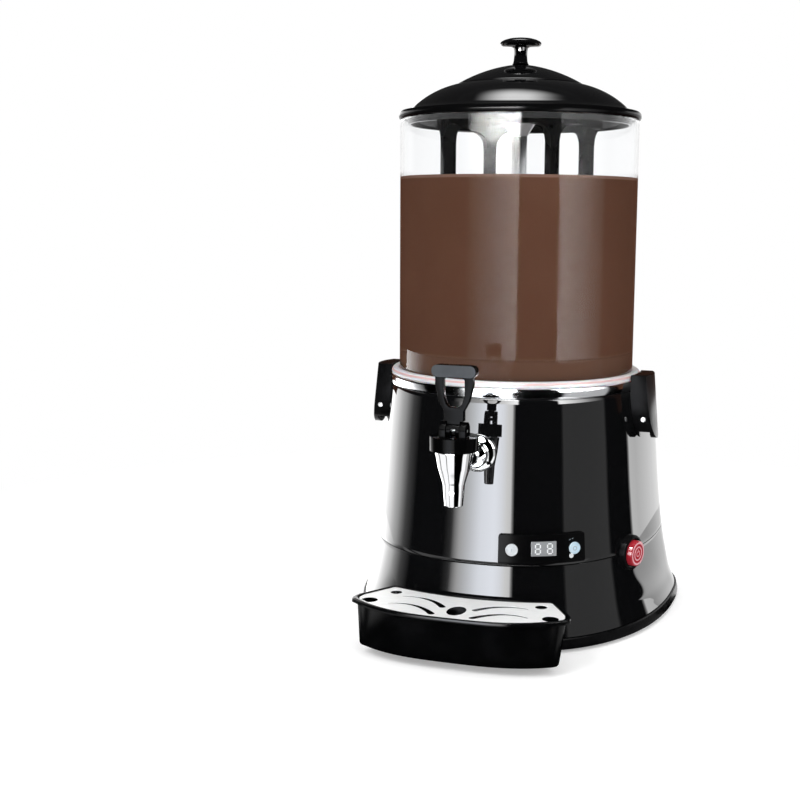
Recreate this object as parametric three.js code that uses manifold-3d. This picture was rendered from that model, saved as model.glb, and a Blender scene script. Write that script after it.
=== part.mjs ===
import * as THREE from 'three';
import { mergeVertices } from 'three/addons/utils/BufferGeometryUtils.js';
import Module from 'manifold-3d';

// A hot chocolate dispenser: a clear tank over a heated steel bowl, with an agitator, in a gloss
// black casing that carries a tap, a drip tray, a control panel and two handles.
// Millimetres, +Z up, front towards -Y. The tank's axis is x = 0, y = 0 until the last lines,
// which put the origin below the middle of the whole part.

// Fits
const seatGap = 0.3;
const runGap = 0.5;
const overrun = 2;
const joinDepth = 1;

// Casing: its plan is two half ovals, narrower at the deck than at the foot
const deckHeight = 236;
const ovalPower = 2.3;
const deckHalfWidth = 133;
const deckWidestY = 45;
const deckFront = 131;
const deckBack = 145;
const footHalfWidth = 165;
const footWidestY = 62;
const footFront = 162;
const footBack = 207;
const flareHeightShares = [0, 0.042, 0.072, 0.127, 0.2, 0.322, 0.564, 0.758, 1];
const flareWidthShares = [1, 0.944, 0.86, 0.72, 0.61, 0.458, 0.278, 0.167, 0];
const casingWall = 2.5;
const seamHeight = 80;
const seamGap = 0.6;
const deckRound = 1.5;
const casingSides = 40;
const fineSides = 28;
const wideSides = 24;
const middleSides = 20;
const smallSides = 16;
const tinySides = 12;

// Base: ring, plate, feet and the tongue that the drip tray rests on
const footStandOut = 3;
const ringHeight = 10;
const ringBulge = 2;
const ringWall = 6;
const ledgeReach = 10;
const ledgeHeight = 4.7;
const plateThickness = 2;
const plateSlotLength = 60;
const plateSlotWidth = 6;
const plateSlotRound = 2.9;
const plateSlotPitch = 14;
const plateSlotCount = 4;
const footRadius = 11;
const footTopRadius = 9.5;
const footNeckRadius = 3;
const footHeadRadius = 4.6;
const footHeadHeight = 3;
const frontFootX = 92;
const frontFootY = -78;
const backFootX = 88;
const backFootY = 138;
const tongueWidth = 80;
const tongueThickness = 3;
const tongueFront = 205;
const tongueBack = 60;

// Tank, its gasket and the steel rim
const roundSides = 36;
const tankRadius = 119.5;
const tankWall = 3.5;
const tankTop = 499.3;
const tankCollarHeight = 28;
const tankCollarStep = 1.5;
const rimRadius = 128.8;
const rimHeight = 9;
const rimSheet = 1.6;
const rimInnerRadius = 123;
const flangeRadius = 126.6;
const sheet = 1.5;
const gasketNeck = 122.7;
const gasketHeadRadius = 127.4;
const gasketHeadHeight = 5.7;
const gasketChamfer = 2;
const gasketChamferDrop = 3.2;
const gasketInnerRadius = 112.3;
const gasketBase = 3.7;

// Steel bowl and the water bath round it
const bowlRadius = 112.1;
const bowlFloor = 160;
const bowlChamfer = 8;
const sleeveRadius = 6;
const sleeveBore = 4.8;
const sleeveTop = 478;
const bathRadius = 122.9;
const bathFloor = 141;
const bathTubeRadius = 9.4;
const bathTubeBore = 8;

// Heater and thermostat under the bath
const heaterRingRadius = 80;
const heaterTubeRadius = 4;
const thermostatRadius = 9;
const thermostatHeight = 10;
const thermostatX = 30;
const thermostatY = 30;

// Drive under the bowl
const bridgeLength = 130;
const bridgeDepth = 70;
const bridgeSheet = 3;
const bridgeTop = 113.3;
const bridgeFoot = 15;
const gearboxLength = 84;
const gearboxDepth = 60;
const gearboxHeight = 26;
const gearboxCorner = 10;
const motorRadius = 30;
const motorHeight = 58;
const shaftRadius = 3.5;
const shaftTop = 492;
const bushRadius = 4.5;
const bushBore = 3.8;
const bushLength = 12;
const bushFlange = 1.5;

// Agitator
const cageRadius = 83;
const cageWall = 13;
const cageFoot = 176;
const cageTop = 500.3;
const cageDisc = 3;
const cageBarWidth = 9;
const cageBottomBand = 8;
const cageTopBand = 8;
const cageWindowCorner = 16;
const cageArmWidth = 12;
const cageHubRadius = 14;
const cageTurn = 38.6;
const cageBars = 4;
const agitatorTubeRadius = 8;
const agitatorTubeBore = 6.5;
const agitatorTubeFoot = 170;
const coneFoot = 484.3;
const coneHeight = 12.7;
const coneRadius = 16;
const coneFootRadius = 8.4;

// Lid and knob
const lidRadius = 121;
const lidRim = 7;
const lidWall = 3;
const lidShoulderRadius = 108;
const lidShoulderHeight = 511;
const lidRidgeRadius = 63;
const lidRidgeHeight = 534;
const lidRidgeStep = 1.2;
const lidCrownHeight = 553.6;
const lidCrownRadius = 8;
const lidSkirtRadius = 112;
const lidSkirtDrop = 5.6;
const lidLowerBulge = 3.5;
const lidUpperBulge = 2.6;
const knobRise = 26.4;
const knobRadius = 20.5;
const knobDiscHeight = 9;
const knobRadiusShares = [0.9, 1, 0.93, 0.66];
const knobHeightShares = [0.07, 0.3, 0.55, 0.9];
const knobStemRadius = 7.2;
const knobWaistRadius = 6.5;
const knobSpigotRadius = 3;
const knobSpigotLength = 8;
const knobNutRadius = 8;
const knobNutHeight = 4;

// Tap
const tapReach = 210;
const tapHeight = 185;
const nozzleFoot = 150.8;
const nozzleTop = 200.7;
const nozzleFootRadius = 8.4;
const nozzleTopRadius = 17.3;
const nozzleWaistHeight = 171;
const nozzleWaistRadius = 10.1;
const nozzleHipHeight = 184;
const nozzleHipRadius = 14.1;
const nozzleBore = 5.5;
const chamberRadius = 9;
const chamberFoot = 178;
const spigotRadius = 13;
const spigotTop = 208;
const shankRadius = 8;
const shankBore = 5;
const shankInner = 103;
const tapFlangeRadius = 18;
const tapFlangeRim = 3.5;
const tapFlangeBoss = 11.5;
const tapFlangeLength = 13;
const sealRadius = 10.7;
const tapNutRadius = 14;
const tapNutLength = 6;
const washerThickness = 2;
const collarRadius = 21.8;
const collarFoot = 201;
const collarHeight = 12.5;
const cheekOuter = 11.9;
const cheekInner = 6.4;
const cheekRound = 8;
const pinRise = 5;
const pinRadius = 1.6;
const stemRadius = 2.2;
const stemDrop = 6;
const stemTravel = 4;
const seatCupRadius = 8.2;
const seatCupHeight = 5.5;
const springRadius = 4.6;
const springWire = 0.7;
const springTurns = 4;
const leverHubRadius = 7.2;
const leverNeck = 8.9;
const leverThickness = 7;
const leverNeckRise = 17.5;
const leverWaist = 13.8;
const leverWaistRise = 26.3;
const leverBarRise = 47.2;
const leverTopRise = 58;
const leverBarLength = 40.3;
const leverBarDepth = 11;
const leverShoulder = 17.2;
const leverLimb = 6.5;
const gripRoundShare = 0.45;
const leverSlot = 4.8;
const eyeFootHalf = 4.2;
const eyeFootRise = 20.6;
const eyeLowHalf = 7.6;
const eyeLowRise = 24;
const eyeHalf = 9.8;
const eyeHalfRise = 31.5;
const eyeCorner = 2.4;

// Control panel; azimuths are degrees from the front towards +X
const panelFoot = 81.5;
const panelTop = 110.5;
const panelStart = 9.2;
const panelEnd = 42.4;
const panelProud = 5;
const panelFrame = 5;
const panelFrameAngle = 1.2;
const panelFitAngle = 0.3;
const boardInsetAngle = 2.2;
const displayFitAngle = 0.2;
const boardThickness = 1.6;
const boardSetback = 8;
const displayFoot = 89;
const displayTop = 103;
const displayStart = 21.4;
const displayEnd = 31.1;
const displayRecess = 2;
const buttonRadius = 5.8;
const buttonProud = 6.2;
const buttonTravel = 0.8;
const buttonClearance = 1;
const buttonHeight = 95.5;
const setButtonAzimuth = 14.2;
const lightButtonAzimuth = 38.2;

// Power switch on the right flank
const switchAzimuth = 69;
const switchHeight = 79;
const switchRimRadius = 17.5;
const switchRimProud = 5;
const switchCapRadius = 12.6;
const switchCapProud = 10;
const switchCapEdge = 1;
const switchBarrel = 15;
const switchBarrelLength = 24;
const switchStemRadius = 5;
const switchStemLength = 16;
const switchNutRadius = 19;
const switchNutInset = 10;

// Handles
const handleForward = 8;
const handleHalfWidth = 23;
const handleTop = 251.5;
const handleFoot = 187;
const handleCurve = 34;
const handleTopStand = 11.3;
const handleTopEdgeStand = 6.5;
const handleFootStand = 12.25;
const handleFootEdgeStand = 8.75;
const handleCheek = 3.5;
const handlePlate = 3.2;
const handleRoof = 3.2;
const handleInner = 100;
const notchInset = 4.25;
const notchStand = 6.15;
const notchTop = 194.4;
const handleScrewHeight = 207.9;
const handleScrewStand = 2.37;
const screwHeadRadius = 2.5;
const screwHeadProud = 0.8;
const screwHeadDepth = 1.4;
const screwRadius = 1.6;
const screwLength = 8;
const lugHeight = 10;
const lugStand = 4.57;
const lugStripStand = 0.87;
const lugDepth = 4;

// Drip tray and its grid
const trayFoot = 8;
const trayTop = 51.8;
const trayFront = 226;
const trayTip = 195;
const trayHalfWidth = 105;
const trayBackHalf = 80;
const trayBackCorner = 145;
const trayBackMiddle = 158;
const tipInsetShare = 1.8;
const heelInsetShare = 0.55;
const trayTipRound = 12;
const trayBackRound = 5;
const trayFootHalf = 96;
const trayFootBackHalf = 76;
const trayFootFront = 220.5;
const trayFootTip = 199;
const trayFootBackCorner = 157;
const trayFootBackMiddle = 169.5;
const trayFloor = 2.5;
const trayWall = 2.4;
const trayLip = 2.6;
const trayEdge = 0.8;
const trayLipHeight = 4;
const trayLedge = 3;
const gridSheet = 1.5;
const gridDrop = 1;
const gridInset = 3.4;
const gridHoleBig = 6.8;
const gridHoleBigX = 86;
const gridHoleBigY = 194;
const gridHoleSmall = 4.8;
const gridHoleSmallX = 70.5;
const gridHoleSmallY = 164;
const gridOvalY = 199;
const gridOvalLength = 24;
const gridOvalWidth = 14;
const backSlotTipX = 61;
const backSlotTipY = 173.6;
const backSlotMiddleX = 36;
const backSlotMiddleY = 175;
const backSlotEndX = 15.8;
const backSlotEndY = 191.7;
const frontSlotTipX = 66.5;
const frontSlotTipY = 198.2;
const frontSlotMiddleX = 42.4;
const frontSlotMiddleY = 195.8;
const frontSlotEndX = 19.3;
const frontSlotEndY = 213.4;
const slotWidth = 6.6;
const slotTipWidth = 1.8;

// Power parts inside and behind
const inletHeight = 112;
const inletWidth = 48;
const inletTall = 30;
const inletPlate = 4;
const inletBodyWidth = 27;
const inletBodyTall = 20;
const inletBodyDepth = 24;
const inletSocketWidth = 22;
const inletSocketTall = 15;
const inletSocketDepth = 16;
const supplyWidth = 74;
const supplyDepth = 48;
const supplyTall = 30;
const supplyX = -52;
const supplyY = 92;
const terminalWidth = 44;
const terminalDepth = 22;
const terminalTall = 18;
const terminalX = 48;
const terminalY = 98;
const terminalWays = 4;
const terminalSlot = 6;

const wasm = await Module();
wasm.setup();

const radians = THREE.MathUtils.degToRad;
const halfTurn = 180;

// Solids: a closed three.js geometry becomes a manifold for joins and cuts, and comes back after

function signedVolume(geometry) {
  const place = geometry.getAttribute('position');
  const index = geometry.index.array;
  const corners = [new THREE.Vector3(), new THREE.Vector3(), new THREE.Vector3()];
  let sum = 0;
  for (let i = 0; i < index.length; i += 3) {
    corners.forEach((corner, k) => corner.fromBufferAttribute(place, index[i + k]));
    sum += corners[0].dot(corners[1].cross(corners[2]));
  }
  return sum;
}

function solid(geometry) {
  const bare = new THREE.BufferGeometry();
  const source = geometry.index ? geometry.toNonIndexed() : geometry;
  bare.setAttribute('position', source.getAttribute('position').clone());
  const merged = mergeVertices(bare);
  const kept = [];
  const all = merged.index.array;
  for (let i = 0; i < all.length; i += 3) {
    const [a, b, c] = [all[i], all[i + 1], all[i + 2]];
    if (a !== b && b !== c && c !== a) kept.push(a, b, c);
  }
  merged.setIndex(kept);
  if (signedVolume(merged) < 0) {
    for (let i = 0; i < kept.length; i += 3) [kept[i], kept[i + 1]] = [kept[i + 1], kept[i]];
    merged.setIndex(kept);
  }
  return new wasm.Manifold(new wasm.Mesh({
    numProp: 3,
    vertProperties: merged.getAttribute('position').array,
    triVerts: new Uint32Array(merged.index.array),
  }));
}

const join = (first, ...others) => others.reduce((sum, other) => sum.add(other), first);
const cut = (first, ...others) => others.reduce((rest, other) => rest.subtract(other), first);

function geometryOf(manifold) {
  const mesh = manifold.getMesh();
  const step = mesh.numProp;
  const place = new Float32Array(mesh.numVert * 3);
  for (let i = 0; i < mesh.numVert; i += 1) {
    place.set(mesh.vertProperties.subarray(i * step, i * step + 3), i * 3);
  }
  const geometry = new THREE.BufferGeometry();
  geometry.setAttribute('position', new THREE.BufferAttribute(place, 3));
  geometry.setIndex(new THREE.BufferAttribute(mesh.triVerts, 1));
  geometry.computeVertexNormals();
  return geometry;
}

function addPiece(parent, name, manifold, finish) {
  const mesh = new THREE.Mesh(geometryOf(manifold), new THREE.MeshStandardMaterial(finish));
  mesh.name = name;
  parent.add(mesh);
  return mesh;
}

// Shapes, all with their own axis or depth along Z

function turned(profile, sides = roundSides) {
  const points = profile.map(([radius, height]) => new THREE.Vector2(radius, height));
  const open = profile[0][0] > 0;
  if (open) points.push(points[0].clone());
  return solid(new THREE.LatheGeometry(points, sides).rotateX(Math.PI / 2));
}

function rod(radius, low, high, sides = wideSides) {
  return turned([[0, low], [radius, low], [radius, high], [0, high]], sides);
}

function bar(x0, x1, y0, y1, z0, z1) {
  const box = new THREE.BoxGeometry(x1 - x0, y1 - y0, z1 - z0);
  return solid(box.translate((x0 + x1) / 2, (y0 + y1) / 2, (z0 + z1) / 2));
}

function prism(outline, low, high) {
  const shape = new THREE.Shape(outline.map(([x, y]) => new THREE.Vector2(x, y)));
  const slab = new THREE.ExtrudeGeometry(shape, { depth: high - low, bevelEnabled: false });
  return solid(slab.translate(0, 0, low));
}

// Rings of as many points each, joined in order; the ends are capped, or meet each other
function loft(rings, endless = false) {
  const count = rings[0].length;
  const place = rings.flat(2);
  const faces = [];
  const spans = endless ? rings.length : rings.length - 1;
  for (let r = 0; r < spans; r += 1) {
    for (let i = 0; i < count; i += 1) {
      const j = (i + 1) % count;
      const low = r * count;
      const high = ((r + 1) % rings.length) * count;
      faces.push(low + i, low + j, high + j, low + i, high + j, high + i);
    }
  }
  if (!endless) {
    const last = (rings.length - 1) * count;
    const flat = (ring) => ring.map(([x, y]) => new THREE.Vector2(x, y));
    THREE.ShapeUtils.triangulateShape(flat(rings[0]), []).forEach(([a, b, c]) => faces.push(c, b, a));
    THREE.ShapeUtils.triangulateShape(flat(rings.at(-1)), [])
      .forEach(([a, b, c]) => faces.push(last + a, last + b, last + c));
  }
  const geometry = new THREE.BufferGeometry();
  geometry.setAttribute('position', new THREE.Float32BufferAttribute(place, 3));
  geometry.setIndex(faces);
  return solid(geometry);
}

function arcPoints(x, y, radius, from, to, steps) {
  return Array.from({ length: steps + 1 }, (_, i) => {
    const angle = radians(from + ((to - from) * i) / steps);
    return [x + radius * Math.cos(angle), y + radius * Math.sin(angle)];
  });
}

const circlePoints = (x, y, radius, steps) => arcPoints(x, y, radius, 0, 360 - 360 / steps, steps - 1);

function roundedBox(width, depth, corner, steps = 4) {
  const x = width / 2 - corner;
  const y = depth / 2 - corner;
  return [
    ...arcPoints(x, y, corner, 0, 90, steps),
    ...arcPoints(-x, y, corner, 90, 180, steps),
    ...arcPoints(-x, -y, corner, 180, 270, steps),
    ...arcPoints(x, -y, corner, 270, 360, steps),
  ];
}

// The casing's plan at a height, and its surface at an azimuth

function casingPlan(height) {
  const share = height / deckHeight;
  let k = flareHeightShares.findIndex((value) => value >= share);
  k = k < 0 ? flareHeightShares.length - 1 : Math.max(k, 1);
  const span = flareHeightShares[k] - flareHeightShares[k - 1];
  const part = THREE.MathUtils.clamp((share - flareHeightShares[k - 1]) / span, 0, 1);
  const flare = THREE.MathUtils.lerp(flareWidthShares[k - 1], flareWidthShares[k], part);
  const mix = (deck, foot) => deck + (foot - deck) * flare;
  return {
    half: mix(deckHalfWidth, footHalfWidth),
    middle: mix(deckWidestY, footWidestY),
    front: mix(deckFront, footFront),
    back: mix(deckBack, footBack),
  };
}

function casingRing(height, grow = 0, at = height) {
  const plan = casingPlan(height);
  const rounded = (value) => Math.sign(value) * Math.abs(value) ** (2 / ovalPower);
  return Array.from({ length: casingSides }, (_, i) => {
    const angle = (2 * Math.PI * i) / casingSides;
    const depth = Math.sin(angle) > 0 ? plan.back - plan.middle : plan.front + plan.middle;
    const x = (plan.half + grow) * rounded(Math.cos(angle));
    return [x, plan.middle + (depth + grow) * rounded(Math.sin(angle)), at];
  });
}

const circleRing = (radius, height) => Array.from({ length: casingSides }, (_, i) => {
  const angle = (2 * Math.PI * i) / casingSides;
  return [radius * Math.cos(angle), radius * Math.sin(angle), height];
});

// By halving: how far out from the tank's axis the casing's surface is
function casingRadius(azimuth, height) {
  const plan = casingPlan(height);
  const [sx, sy] = [Math.sin(radians(azimuth)), -Math.cos(radians(azimuth))];
  let [near, far] = [0, footBack * 2];
  for (let i = 0; i < 30; i += 1) {
    const radius = (near + far) / 2;
    const y = radius * sy - plan.middle;
    const depth = y > 0 ? plan.back - plan.middle : plan.front + plan.middle;
    const out = Math.abs((radius * sx) / plan.half) ** ovalPower + Math.abs(y / depth) ** ovalPower;
    if (out > 1) far = radius;
    else near = radius;
  }
  return near;
}

// The casing filled solid and grown, to cut what lies against it
function casingBlank(grow, low, high) {
  const levels = flareHeightShares.map((share) => share * deckHeight)
    .filter((level) => level > low && level < high);
  return loft([low, ...levels, high].map((level) => casingRing(level, grow)));
}

// A plate wrapped on the casing between two azimuths, two heights and two offsets from its surface
function wrapped(start, end, low, high, inner, outer, steps = 8) {
  const rings = Array.from({ length: steps + 1 }, (_, i) => {
    const azimuth = start + ((end - start) * i) / steps;
    const corner = (height, offset) => {
      const radius = casingRadius(azimuth, height) + offset;
      return [radius * Math.sin(radians(azimuth)), -radius * Math.cos(radians(azimuth)), height];
    };
    return [corner(low, inner), corner(low, outer), corner(high, outer), corner(high, inner)];
  });
  return sweptStrip(rings);
}

function sweptStrip(rings) {
  const place = rings.flat(2);
  const last = (rings.length - 1) * 4;
  const faces = [0, 2, 1, 0, 3, 2, last, last + 1, last + 2, last, last + 2, last + 3];
  for (let r = 0; r < last; r += 4) {
    for (let i = 0; i < 4; i += 1) {
      const j = (i + 1) % 4;
      faces.push(r + i, r + j, r + 4 + j, r + i, r + 4 + j, r + 4 + i);
    }
  }
  const geometry = new THREE.BufferGeometry();
  geometry.setAttribute('position', new THREE.Float32BufferAttribute(place, 3));
  geometry.setIndex(faces);
  return solid(geometry);
}

// A manifold whose own Z axis is turned to point out of the casing at an azimuth and a height
function facing(manifold, azimuth, height) {
  return manifold.rotate([90, 0, 0]).rotate([0, 0, azimuth]).translate([0, 0, height]);
}

// Finishes
const glossBlack = { color: 0x0c0d0f, roughness: 0.12, metalness: 0 };
const satinBlack = { color: 0x17181a, roughness: 0.5, metalness: 0 };
const rubberBlack = { color: 0x101010, roughness: 0.85, metalness: 0 };
const chromed = { color: 0xe8e8ea, roughness: 0.06, metalness: 1 };
const steel = { color: 0xc9cbce, roughness: 0.28, metalness: 1 };
const plated = { color: 0x9da1a6, roughness: 0.4, metalness: 1 };
const clearPlastic = { color: 0xf2f4f6, roughness: 0.05, metalness: 0, transparent: true, opacity: 0.35 };
const silicone = { color: 0xe6d3d2, roughness: 0.45, metalness: 0 };
const bronze = { color: 0xa5793f, roughness: 0.45, metalness: 1 };
const boardGreen = { color: 0x1f5a38, roughness: 0.6, metalness: 0 };
const displayGrey = { color: 0xb9bdbd, roughness: 0.2, metalness: 0 };
const buttonGrey = { color: 0xdfe3e6, roughness: 0.35, metalness: 0 };
const switchRed = { color: 0xc01828, roughness: 0.25, metalness: 0 };
const whitePlastic = { color: 0xd9d9d4, roughness: 0.5, metalness: 0 };

const machine = new THREE.Group();

// Base

const plateLow = footStandOut + ledgeHeight + seatGap;
const plateHigh = plateLow + plateThickness;
const ringTop = footStandOut + ringHeight;
const tongueLow = plateLow - seatGap - tongueThickness;

function baseRing() {
  const ledgeTop = footStandOut + ledgeHeight;
  const inner = (inset, at) => casingRing(ringTop, -inset, at);
  const ring = loft([
    casingRing(footStandOut, ringBulge / 2),
    casingRing(ringTop, ringBulge),
    inner(ringWall, ringTop),
    inner(ringWall, ledgeTop),
    inner(ringWall + ledgeReach, ledgeTop),
    inner(ringWall + ledgeReach, footStandOut),
  ], true);
  const half = tongueWidth / 2 + runGap;
  const notch = bar(-half, half, -footFront - overrun * 2, 0, tongueLow - seatGap, plateLow);
  return cut(ring, notch);
}

function basePlate() {
  const edge = (at) => casingRing(ringTop, -ringWall - runGap, at);
  const plate = loft([edge(plateLow), edge(plateHigh)]);
  const holes = [];
  [[frontFootX, frontFootY], [backFootX, backFootY]].forEach(([x, y]) => {
    [-x, x].forEach((side) => {
      const hole = rod(footNeckRadius + seatGap, plateLow - overrun, plateHigh + overrun, smallSides);
      holes.push(hole.translate([side, y, 0]));
    });
  });
  for (let i = 0; i < plateSlotCount; i += 1) {
    const y = deckWidestY + (i - (plateSlotCount - 1) / 2) * plateSlotPitch;
    const slot = prism(roundedBox(plateSlotLength, plateSlotWidth, plateSlotRound, 3),
      plateLow - overrun, plateHigh + overrun);
    holes.push(slot.translate([0, y, 0]));
  }
  return cut(plate, ...holes);
}

function foot() {
  const neckTop = plateHigh + seatGap;
  return turned([
    [0, 0], [footRadius, 0], [footTopRadius, plateLow - seatGap],
    [footNeckRadius, plateLow - seatGap], [footNeckRadius, neckTop],
    [footHeadRadius, neckTop], [footNeckRadius, neckTop + footHeadHeight], [0, neckTop + footHeadHeight],
  ], smallSides);
}

function trayTongue() {
  const half = tongueWidth / 2;
  return bar(-half, half, -tongueFront, -tongueBack, tongueLow, tongueLow + tongueThickness);
}

addPiece(machine, 'base_ring', baseRing(), satinBlack);
addPiece(machine, 'base_plate', basePlate(), plated);
addPiece(machine, 'tray_tongue', trayTongue(), plated);
const feetPlaces = {
  foot_front_left: [-frontFootX, frontFootY],
  foot_front_right: [frontFootX, frontFootY],
  foot_back_left: [-backFootX, backFootY],
  foot_back_right: [backFootX, backFootY],
};
Object.entries(feetPlaces).forEach(([name, [x, y]]) => {
  addPiece(machine, name, foot(), rubberBlack).position.set(x, y, 0);
});

// Casing

function flareLevels(low, high) {
  return flareHeightShares.map((share) => share * deckHeight)
    .filter((level) => level > low + overrun && level < high - overrun);
}

const lowerFoot = ringTop + seatGap;
const lowerTop = seamHeight - seamGap / 2;
const upperFoot = seamHeight + seamGap / 2;
const bathOuter = bathRadius + sheet;

function lowerHousing() {
  const levels = [lowerFoot, ...flareLevels(lowerFoot, lowerTop), lowerTop];
  const outer = levels.map((level) => casingRing(level));
  const inner = levels.map((level) => casingRing(level, -casingWall)).reverse();
  return cut(loft([...outer, ...inner], true), switchHole());
}

function upperHousing() {
  const levels = [upperFoot, ...flareLevels(upperFoot, deckHeight), deckHeight - deckRound];
  const outer = levels.map((level) => casingRing(level));
  const ceiling = deckHeight - casingWall;
  const inner = levels.map((level) => casingRing(level, -casingWall, Math.min(level, ceiling)));
  const shell = loft([
    ...outer,
    casingRing(deckHeight, -deckRound),
    circleRing(bathOuter + runGap, deckHeight),
    circleRing(bathOuter + runGap, deckHeight - casingWall),
    ...inner.reverse(),
  ], true);
  const shank = facing(rod(shankRadius + runGap, 0, tapReach, middleSides), 0, tapHeight);
  const panelHole = wrapped(panelStart + panelFrameAngle, panelEnd - panelFrameAngle,
    panelFoot + panelFrame, panelTop - panelFrame, -casingWall - overrun, overrun);
  const inletHole = bar(-inletBodyWidth / 2 - runGap, inletBodyWidth / 2 + runGap, 0, footBack,
    inletHeight - inletBodyTall / 2 - runGap, inletHeight + inletBodyTall / 2 + runGap);
  return cut(shell, shank, panelHole, inletHole, switchHole());
}

function switchHole() {
  const hole = rod(switchBarrel + runGap, switchFace - switchBarrelLength, switchFace + overrun, wideSides);
  return facing(hole, switchAzimuth, switchHeight);
}

const switchFace = casingRadius(switchAzimuth, switchHeight);

addPiece(machine, 'lower_housing', lowerHousing(), glossBlack);
addPiece(machine, 'upper_housing', upperHousing(), glossBlack);

// Bath, bowl, gasket, rim and tank, stacked on the deck

const bathRimLow = deckHeight + seatGap;
const bowlRimLow = bathRimLow + sheet + seatGap;
const gasketLow = bowlRimLow + sheet + seatGap;
const gasketLedge = gasketLow + gasketBase - seatGap;
const rimTop = bathRimLow + rimHeight;
const gasketHeadLow = rimTop + seatGap;
const gasketTop = gasketHeadLow + gasketHeadHeight;
const tankFoot = gasketLedge + seatGap;
const wallRadius = tankRadius + runGap;
const bowlOuter = bowlRadius + sheet;

function shankHole(radius, inner, outer) {
  return facing(rod(radius, inner, outer, middleSides), 0, tapHeight);
}

function waterBath() {
  const rimHigh = bathRimLow + sheet;
  const wall = turned([
    [flangeRadius, bathRimLow], [bathOuter, bathRimLow], [bathOuter, bathFloor],
    [bathTubeBore, bathFloor], [bathTubeBore, bowlFloor - seatGap], [bathTubeRadius, bowlFloor - seatGap],
    [bathTubeRadius, bathFloor + sheet], [bathRadius, bathFloor + sheet], [bathRadius, rimHigh],
    [flangeRadius, rimHigh],
  ]);
  return cut(wall, shankHole(sealRadius + seatGap, bowlOuter, bathOuter + overrun));
}

function innerBowl() {
  const rimHigh = bowlRimLow + sheet;
  const floorHigh = bowlFloor + sheet;
  const bowl = turned([
    [flangeRadius, bowlRimLow], [bowlOuter, bowlRimLow], [bowlOuter, bowlFloor + bowlChamfer],
    [bowlOuter - bowlChamfer, bowlFloor], [sleeveBore, bowlFloor], [sleeveBore, sleeveTop],
    [sleeveRadius, sleeveTop], [sleeveRadius, floorHigh], [bowlRadius - bowlChamfer, floorHigh],
    [bowlRadius, floorHigh + bowlChamfer], [bowlRadius, rimHigh], [flangeRadius, rimHigh],
  ]);
  return cut(bowl, shankHole(shankRadius + seatGap, bowlRadius - bowlChamfer, bowlOuter + overrun));
}

function tankGasket() {
  return turned([
    [gasketInnerRadius, gasketLow], [flangeRadius, gasketLow], [flangeRadius, gasketLow + gasketBase],
    [gasketNeck, gasketLow + gasketBase], [gasketNeck, gasketHeadLow], [gasketHeadRadius, gasketHeadLow],
    [gasketHeadRadius, gasketTop - gasketChamferDrop], [gasketHeadRadius - gasketChamfer, gasketTop],
    [wallRadius, gasketTop], [wallRadius, gasketLedge], [gasketInnerRadius, gasketLedge],
  ]);
}

function rimRing() {
  const skirt = rimRadius - rimSheet;
  return turned([
    [skirt, bathRimLow], [rimRadius, bathRimLow], [rimRadius, rimTop],
    [rimInnerRadius, rimTop], [rimInnerRadius, rimTop - rimSheet], [skirt, rimTop - rimSheet],
  ]);
}

function tank() {
  const inner = tankRadius - tankWall;
  const collarTop = tankFoot + tankCollarHeight;
  return turned([
    [tankRadius, tankFoot], [tankRadius, tankTop], [inner, tankTop], [inner, collarTop],
    [inner - tankCollarStep, collarTop - tankCollarStep], [inner - tankCollarStep, tankFoot],
  ]);
}

addPiece(machine, 'water_bath', waterBath(), steel);
addPiece(machine, 'inner_bowl', innerBowl(), steel);
addPiece(machine, 'tank_gasket', tankGasket(), silicone);
addPiece(machine, 'rim_ring', rimRing(), chromed);
addPiece(machine, 'tank', tank(), clearPlastic);

// Heater ring and thermostat, held up against the bath's floor

function heatingElement() {
  const ring = new THREE.TorusGeometry(heaterRingRadius, heaterTubeRadius, 8, 30);
  return solid(ring.translate(0, 0, bathFloor - seatGap - heaterTubeRadius));
}

addPiece(machine, 'heating_element', heatingElement(), plated);
const thermostatHigh = bathFloor - seatGap;
const thermostat = rod(thermostatRadius, thermostatHigh - thermostatHeight, thermostatHigh, smallSides);
addPiece(machine, 'bath_thermostat', thermostat, whitePlastic).position.set(thermostatX, thermostatY, 0);

// Drive: a bridge over the base plate carries the gearbox, and the motor hangs under it

const gearboxHigh = bridgeTop - bridgeSheet - seatGap;
const gearboxLow = gearboxHigh - gearboxHeight;
const bridgeLow = plateHigh + seatGap;

function motorBridge() {
  const half = bridgeLength / 2;
  const out = half + bridgeFoot;
  const hat = [
    [-out, bridgeLow], [-half + bridgeSheet, bridgeLow], [-half + bridgeSheet, bridgeTop - bridgeSheet],
    [half - bridgeSheet, bridgeTop - bridgeSheet], [half - bridgeSheet, bridgeLow], [out, bridgeLow],
    [out, bridgeLow + bridgeSheet], [half, bridgeLow + bridgeSheet], [half, bridgeTop],
    [-half, bridgeTop], [-half, bridgeLow + bridgeSheet], [-out, bridgeLow + bridgeSheet],
  ];
  const bridge = prism(hat, -bridgeDepth / 2, bridgeDepth / 2).rotate([90, 0, 0]);
  return cut(bridge, rod(shaftRadius + runGap, gearboxHigh, bridgeTop + overrun, smallSides));
}

const gearbox = prism(roundedBox(gearboxLength, gearboxDepth, gearboxCorner), gearboxLow, gearboxHigh);
const motorHigh = gearboxLow - seatGap;
addPiece(machine, 'motor_bridge', motorBridge(), plated);
addPiece(machine, 'gearbox', gearbox, plated);
addPiece(machine, 'gear_motor', rod(motorRadius, motorHigh - motorHeight, motorHigh), satinBlack);

function shaftBush() {
  const bushLow = sleeveTop - bushLength;
  const bushSeat = sleeveTop + seatGap;
  return turned([
    [bushBore, bushLow], [bushRadius, bushLow], [bushRadius, bushSeat], [sleeveRadius, bushSeat],
    [sleeveRadius, bushSeat + bushFlange], [bushBore, bushSeat + bushFlange],
  ], middleSides);
}

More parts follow.
